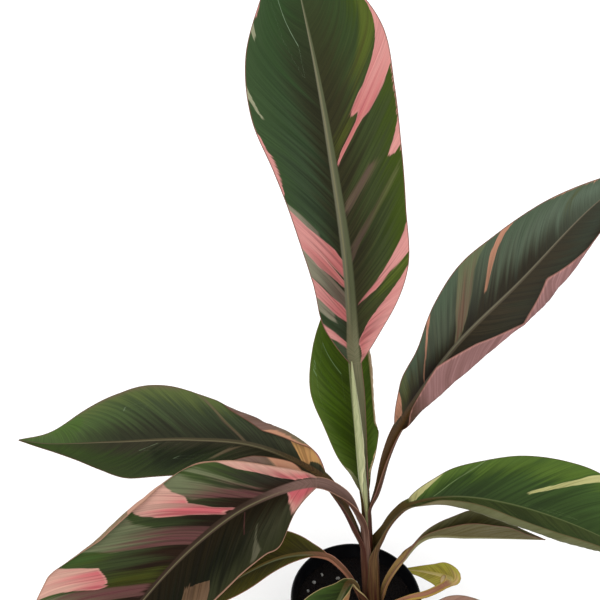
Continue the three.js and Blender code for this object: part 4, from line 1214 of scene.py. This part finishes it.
outline = potOutline()
steps = [(i, i + 1) for i in range(len(outline) - 1)]
piece = newObject("pot_look", meshFrom("pot_look", [(r, 0, z) for r, z in outline], [], steps))
wearTree(piece, potTree(), {
    "Sides": pot["sides"], "Holes": pot["holes"], "Hole Radius": pot["holeRadius"] * mm,
    "Hole Circle": pot["holeCircle"] * mm, "Finish": potFinish(),
})
freeze(piece)
tidy = bmesh.new()
tidy.from_mesh(piece.data)
bmesh.ops.recalc_face_normals(tidy, faces=tidy.faces)
tidy.to_mesh(piece.data)
tidy.free()
piece.data.set_sharp_from_angle(angle=math.radians(pot["sharp"]))
place(piece, "pot")


soil = {
    "top": 81.0, "gap": 0.35, "swell": 0.66, "sides": 144, "rings": 46, "hole": 9.4, "slot": "soil",
    "bare": 0.93,  # share of the way in from the wall beyond which no crumbs lie
    "sharp": 40,
    # a finish is its name, dark and light colour, scale of the mottle and roughness
    "finish": ("peat", (6, 4, 5), (17, 13, 12), 420.0, 0.8),
    "crumbs": {
        "spacing": 1.5, "density": 400000.0, "seed": 4, "smallest": 0.45, "largest": 1.2,
        "finish": ("peat_crumbs", (8, 6, 6), (26, 20, 17), 700.0, 0.82),
    },
    "perlite": {
        "spacing": 9.0, "density": 6000.0, "seed": 11, "smallest": 1.1, "largest": 2.1,
        "finish": ("perlite", (112, 112, 110), (158, 158, 154), 900.0, 0.75),
    },
}


def soilHeight(x, y):
    # soft mounds with small lumps on them
    swell = np.sin(x * 0.13 + 0.6) * np.cos(y * 0.11 - 0.4) + 0.6 * np.sin(x * 0.31 - y * 0.24)
    small = 0.25 * np.sin(x * 0.9 + 2 * np.sin(y * 0.5)) * np.sin(y * 0.8 + np.sin(x * 0.6))
    return soil["top"] + soil["swell"] * swell + small


def buildSoil():
    # outer wall, floor and top, with a tilted hole that the false stem stands in
    sides = soil["sides"]
    angle = np.linspace(0, 2 * np.pi, sides, endpoint=False)
    ring = np.stack([np.cos(angle), np.sin(angle)], 1)
    inner = lambda z: potWallAt(z) - pot["wall"] - soil["gap"]
    floor = pot["wall"] + soil["gap"]
    loops, beds = [], []

    def loop(xy, z, bed):
        loops.append(np.column_stack([xy, np.broadcast_to(z, len(xy))]))
        beds.append(np.full(len(xy), bed))

    loop(ring * (inner(floor) - 1.1), floor, 0)
    for z in (floor + 1.1, 30, 55, 78):
        loop(ring * inner(z), z, 0)
    top = inner(soil["top"])
    hole = stemPoint(soil["top"])[:2]
    for share in np.linspace(0, 1, soil["rings"]):
        radius = top + (soil["hole"] - top) * share
        xy = ring * radius + hole * share
        loop(xy, soilHeight(*xy.T), 1 if share < soil["bare"] else 0)
    foot = stem["sheathFoot"] - 0.4
    for z in (76, 71, foot):
        loop(ring * soil["hole"] + stemPoint(z)[:2], z, 0)
    count = len(loops)
    points = np.vstack(loops + [[[0, 0, floor]], [stemPoint(foot)]])
    beds = np.concatenate(beds + [[0, 0]])
    faces = quads(count, sides, closed=True)
    base, crown, last = count * sides, count * sides + 1, (count - 1) * sides
    for j in range(sides):
        k = (j + 1) % sides
        faces.append((base, k, j))
        faces.append((crown, last + j, last + k))
    mesh = meshFrom("soil", points, faces)
    addNumbers(mesh, "bed", beds)
    return mesh


def scatterTree():
    # strews rough crumbs over the bed of the soil
    tree, bench, source, out = growTree("strewnCrumbs", [
        ("Spacing", "Float"), ("Density", "Float"), ("Seed", "Int"), ("Smallest", "Float"),
        ("Largest", "Float"), ("Crumb Finish", "Material")])
    given = source.outputs
    bed = bench.out("GeometryNodeInputNamedAttribute", {"Name": "bed"}, "Attribute", data_type="FLOAT")
    points = bench.put("GeometryNodeDistributePointsOnFaces", {
        "Mesh": given["Geometry"], "Selection": bench.sum("GREATER_THAN", bed, 0.9), "Seed": given["Seed"]},
        distribute_method="POISSON")
    bench.feed(points.inputs["Distance Min"], given["Spacing"])
    bench.feed(points.inputs["Density Max"], given["Density"])
    ball = bench.out("GeometryNodeMeshIcoSphere", {"Radius": 1.0, "Subdivisions": 1})

    def chance(low, high, seed):
        return bench.out("FunctionNodeRandomValue", {0: low, 1: high, "Seed": seed}, data_type="FLOAT_VECTOR")

    fullTurn = (6.28, 6.28, 6.28)
    turn = chance((0, 0, 0), fullTurn, given["Seed"])
    low, high = (bench.vector(*[given[name]] * 3) for name in ("Smallest", "Largest"))
    crumbs = bench.out("GeometryNodeInstanceOnPoints", {
        "Points": points.outputs["Points"], "Instance": ball, "Rotation": turn,
        "Scale": chance(low, high, bench.sum("ADD", given["Seed"], 7.0))})
    real = bench.shape("RealizeInstances", crumbs)
    worn = bench.shape("SetMaterial", real, Material=given["Crumb Finish"])
    joined = bench.put("GeometryNodeJoinGeometry")
    bench.feed(joined.inputs[0], given["Geometry"])
    bench.feed(joined.inputs[0], worn)
    bench.feed(out.inputs[0], joined.outputs[0])
    return tree


def soilFinish(name, dark, light, scale, rough):
    made, bench, shader = newMaterial(name)
    where = bench.out("ShaderNodeTexCoord", (), "Object")
    mottle = bench.noise(where, scale=scale, detail=4.0, rough=0.65)
    toned = bench.tint(paint(*dark), paint(*light), mottle, 0.35, 0.68)
    roughness = bench.spread(mottle, 0.3, 0.7, rough, min(rough + 0.15, 1.0))
    bench.coat(shader, toned, roughness, mottle, 0.0006, 0.8, 0.1)
    return made


piece = newObject("soil_look", buildSoil())
piece.data.materials.append(soilFinish(*soil["finish"]))
strewn = scatterTree()
for crumb in (soil["crumbs"], soil["perlite"]):
    wearTree(piece, strewn, {
        "Spacing": crumb["spacing"] * mm, "Density": crumb["density"], "Seed": crumb["seed"],
        "Smallest": crumb["smallest"] * mm, "Largest": crumb["largest"] * mm,
        "Crumb Finish": soilFinish(*crumb["finish"]),
    })
freeze(piece, soil["sharp"])
place(piece, "soil")


studio = {
    "floor": 12.0,  # metres across
    "cameraAt": (-45, -393, 610), "pitch": 31.2, "lens": 45.0,
    "sensor": 36.0,  # millimetres across the camera's picture
    "farthest": 50.0,  # metres that it sees
    "sun": 1.7, "sunSpread": 70.0, "sunTurn": (36.0, -14.0, 0.0), "sky": 1.0,
    "paper": (0.95, 0.97),  # how light the floor's darker and lighter clouds are
}


def floorFinish():
    made, bench, shader = newMaterial("floor_paper")
    soft = bench.noise(bench.out("ShaderNodeTexCoord", (), "Object"), scale=2.0, detail=2.0)
    clouds = [(light, light, light, 1) for light in studio["paper"]]
    bench.feed(shader.inputs["Base Color"], bench.blend(soft, *clouds))
    shader.inputs["Roughness"].default_value = 0.9
    return made


half = studio["floor"] / 2 / mm
corners = [(-half, -half, 0), (half, -half, 0), (half, half, 0), (-half, half, 0)]
floorMesh = meshFrom("floor", corners, [(0, 1, 2, 3)])
floor = newObject("floor", floorMesh)
floorMesh.materials.append(floorFinish())


lamp = bpy.data.lights.new("sun", "SUN")
lamp.energy = studio["sun"]
lamp.angle = math.radians(studio["sunSpread"])
newObject("sun", lamp).rotation_euler = [math.radians(turn) for turn in studio["sunTurn"]]

world = bpy.data.worlds.new("sky")
world.use_nodes = True
glow = world.node_tree.nodes["Background"].inputs
glow[0].default_value = (1, 1, 1, 1)
glow[1].default_value = studio["sky"]
bpy.context.scene.world = world
bpy.context.scene.view_settings.view_transform = "Standard"

camera = bpy.data.cameras.new("camera")
camera.lens = studio["lens"]
camera.sensor_width = studio["sensor"]
camera.clip_end = studio["farthest"]
cameraObject = newObject("camera", camera)
cameraObject.location = Vector(studio["cameraAt"]) * mm
cameraObject.rotation_euler = (math.radians(90 - studio["pitch"]), 0, 0)
bpy.context.scene.camera = cameraObject

bpy.context.view_layer.update()
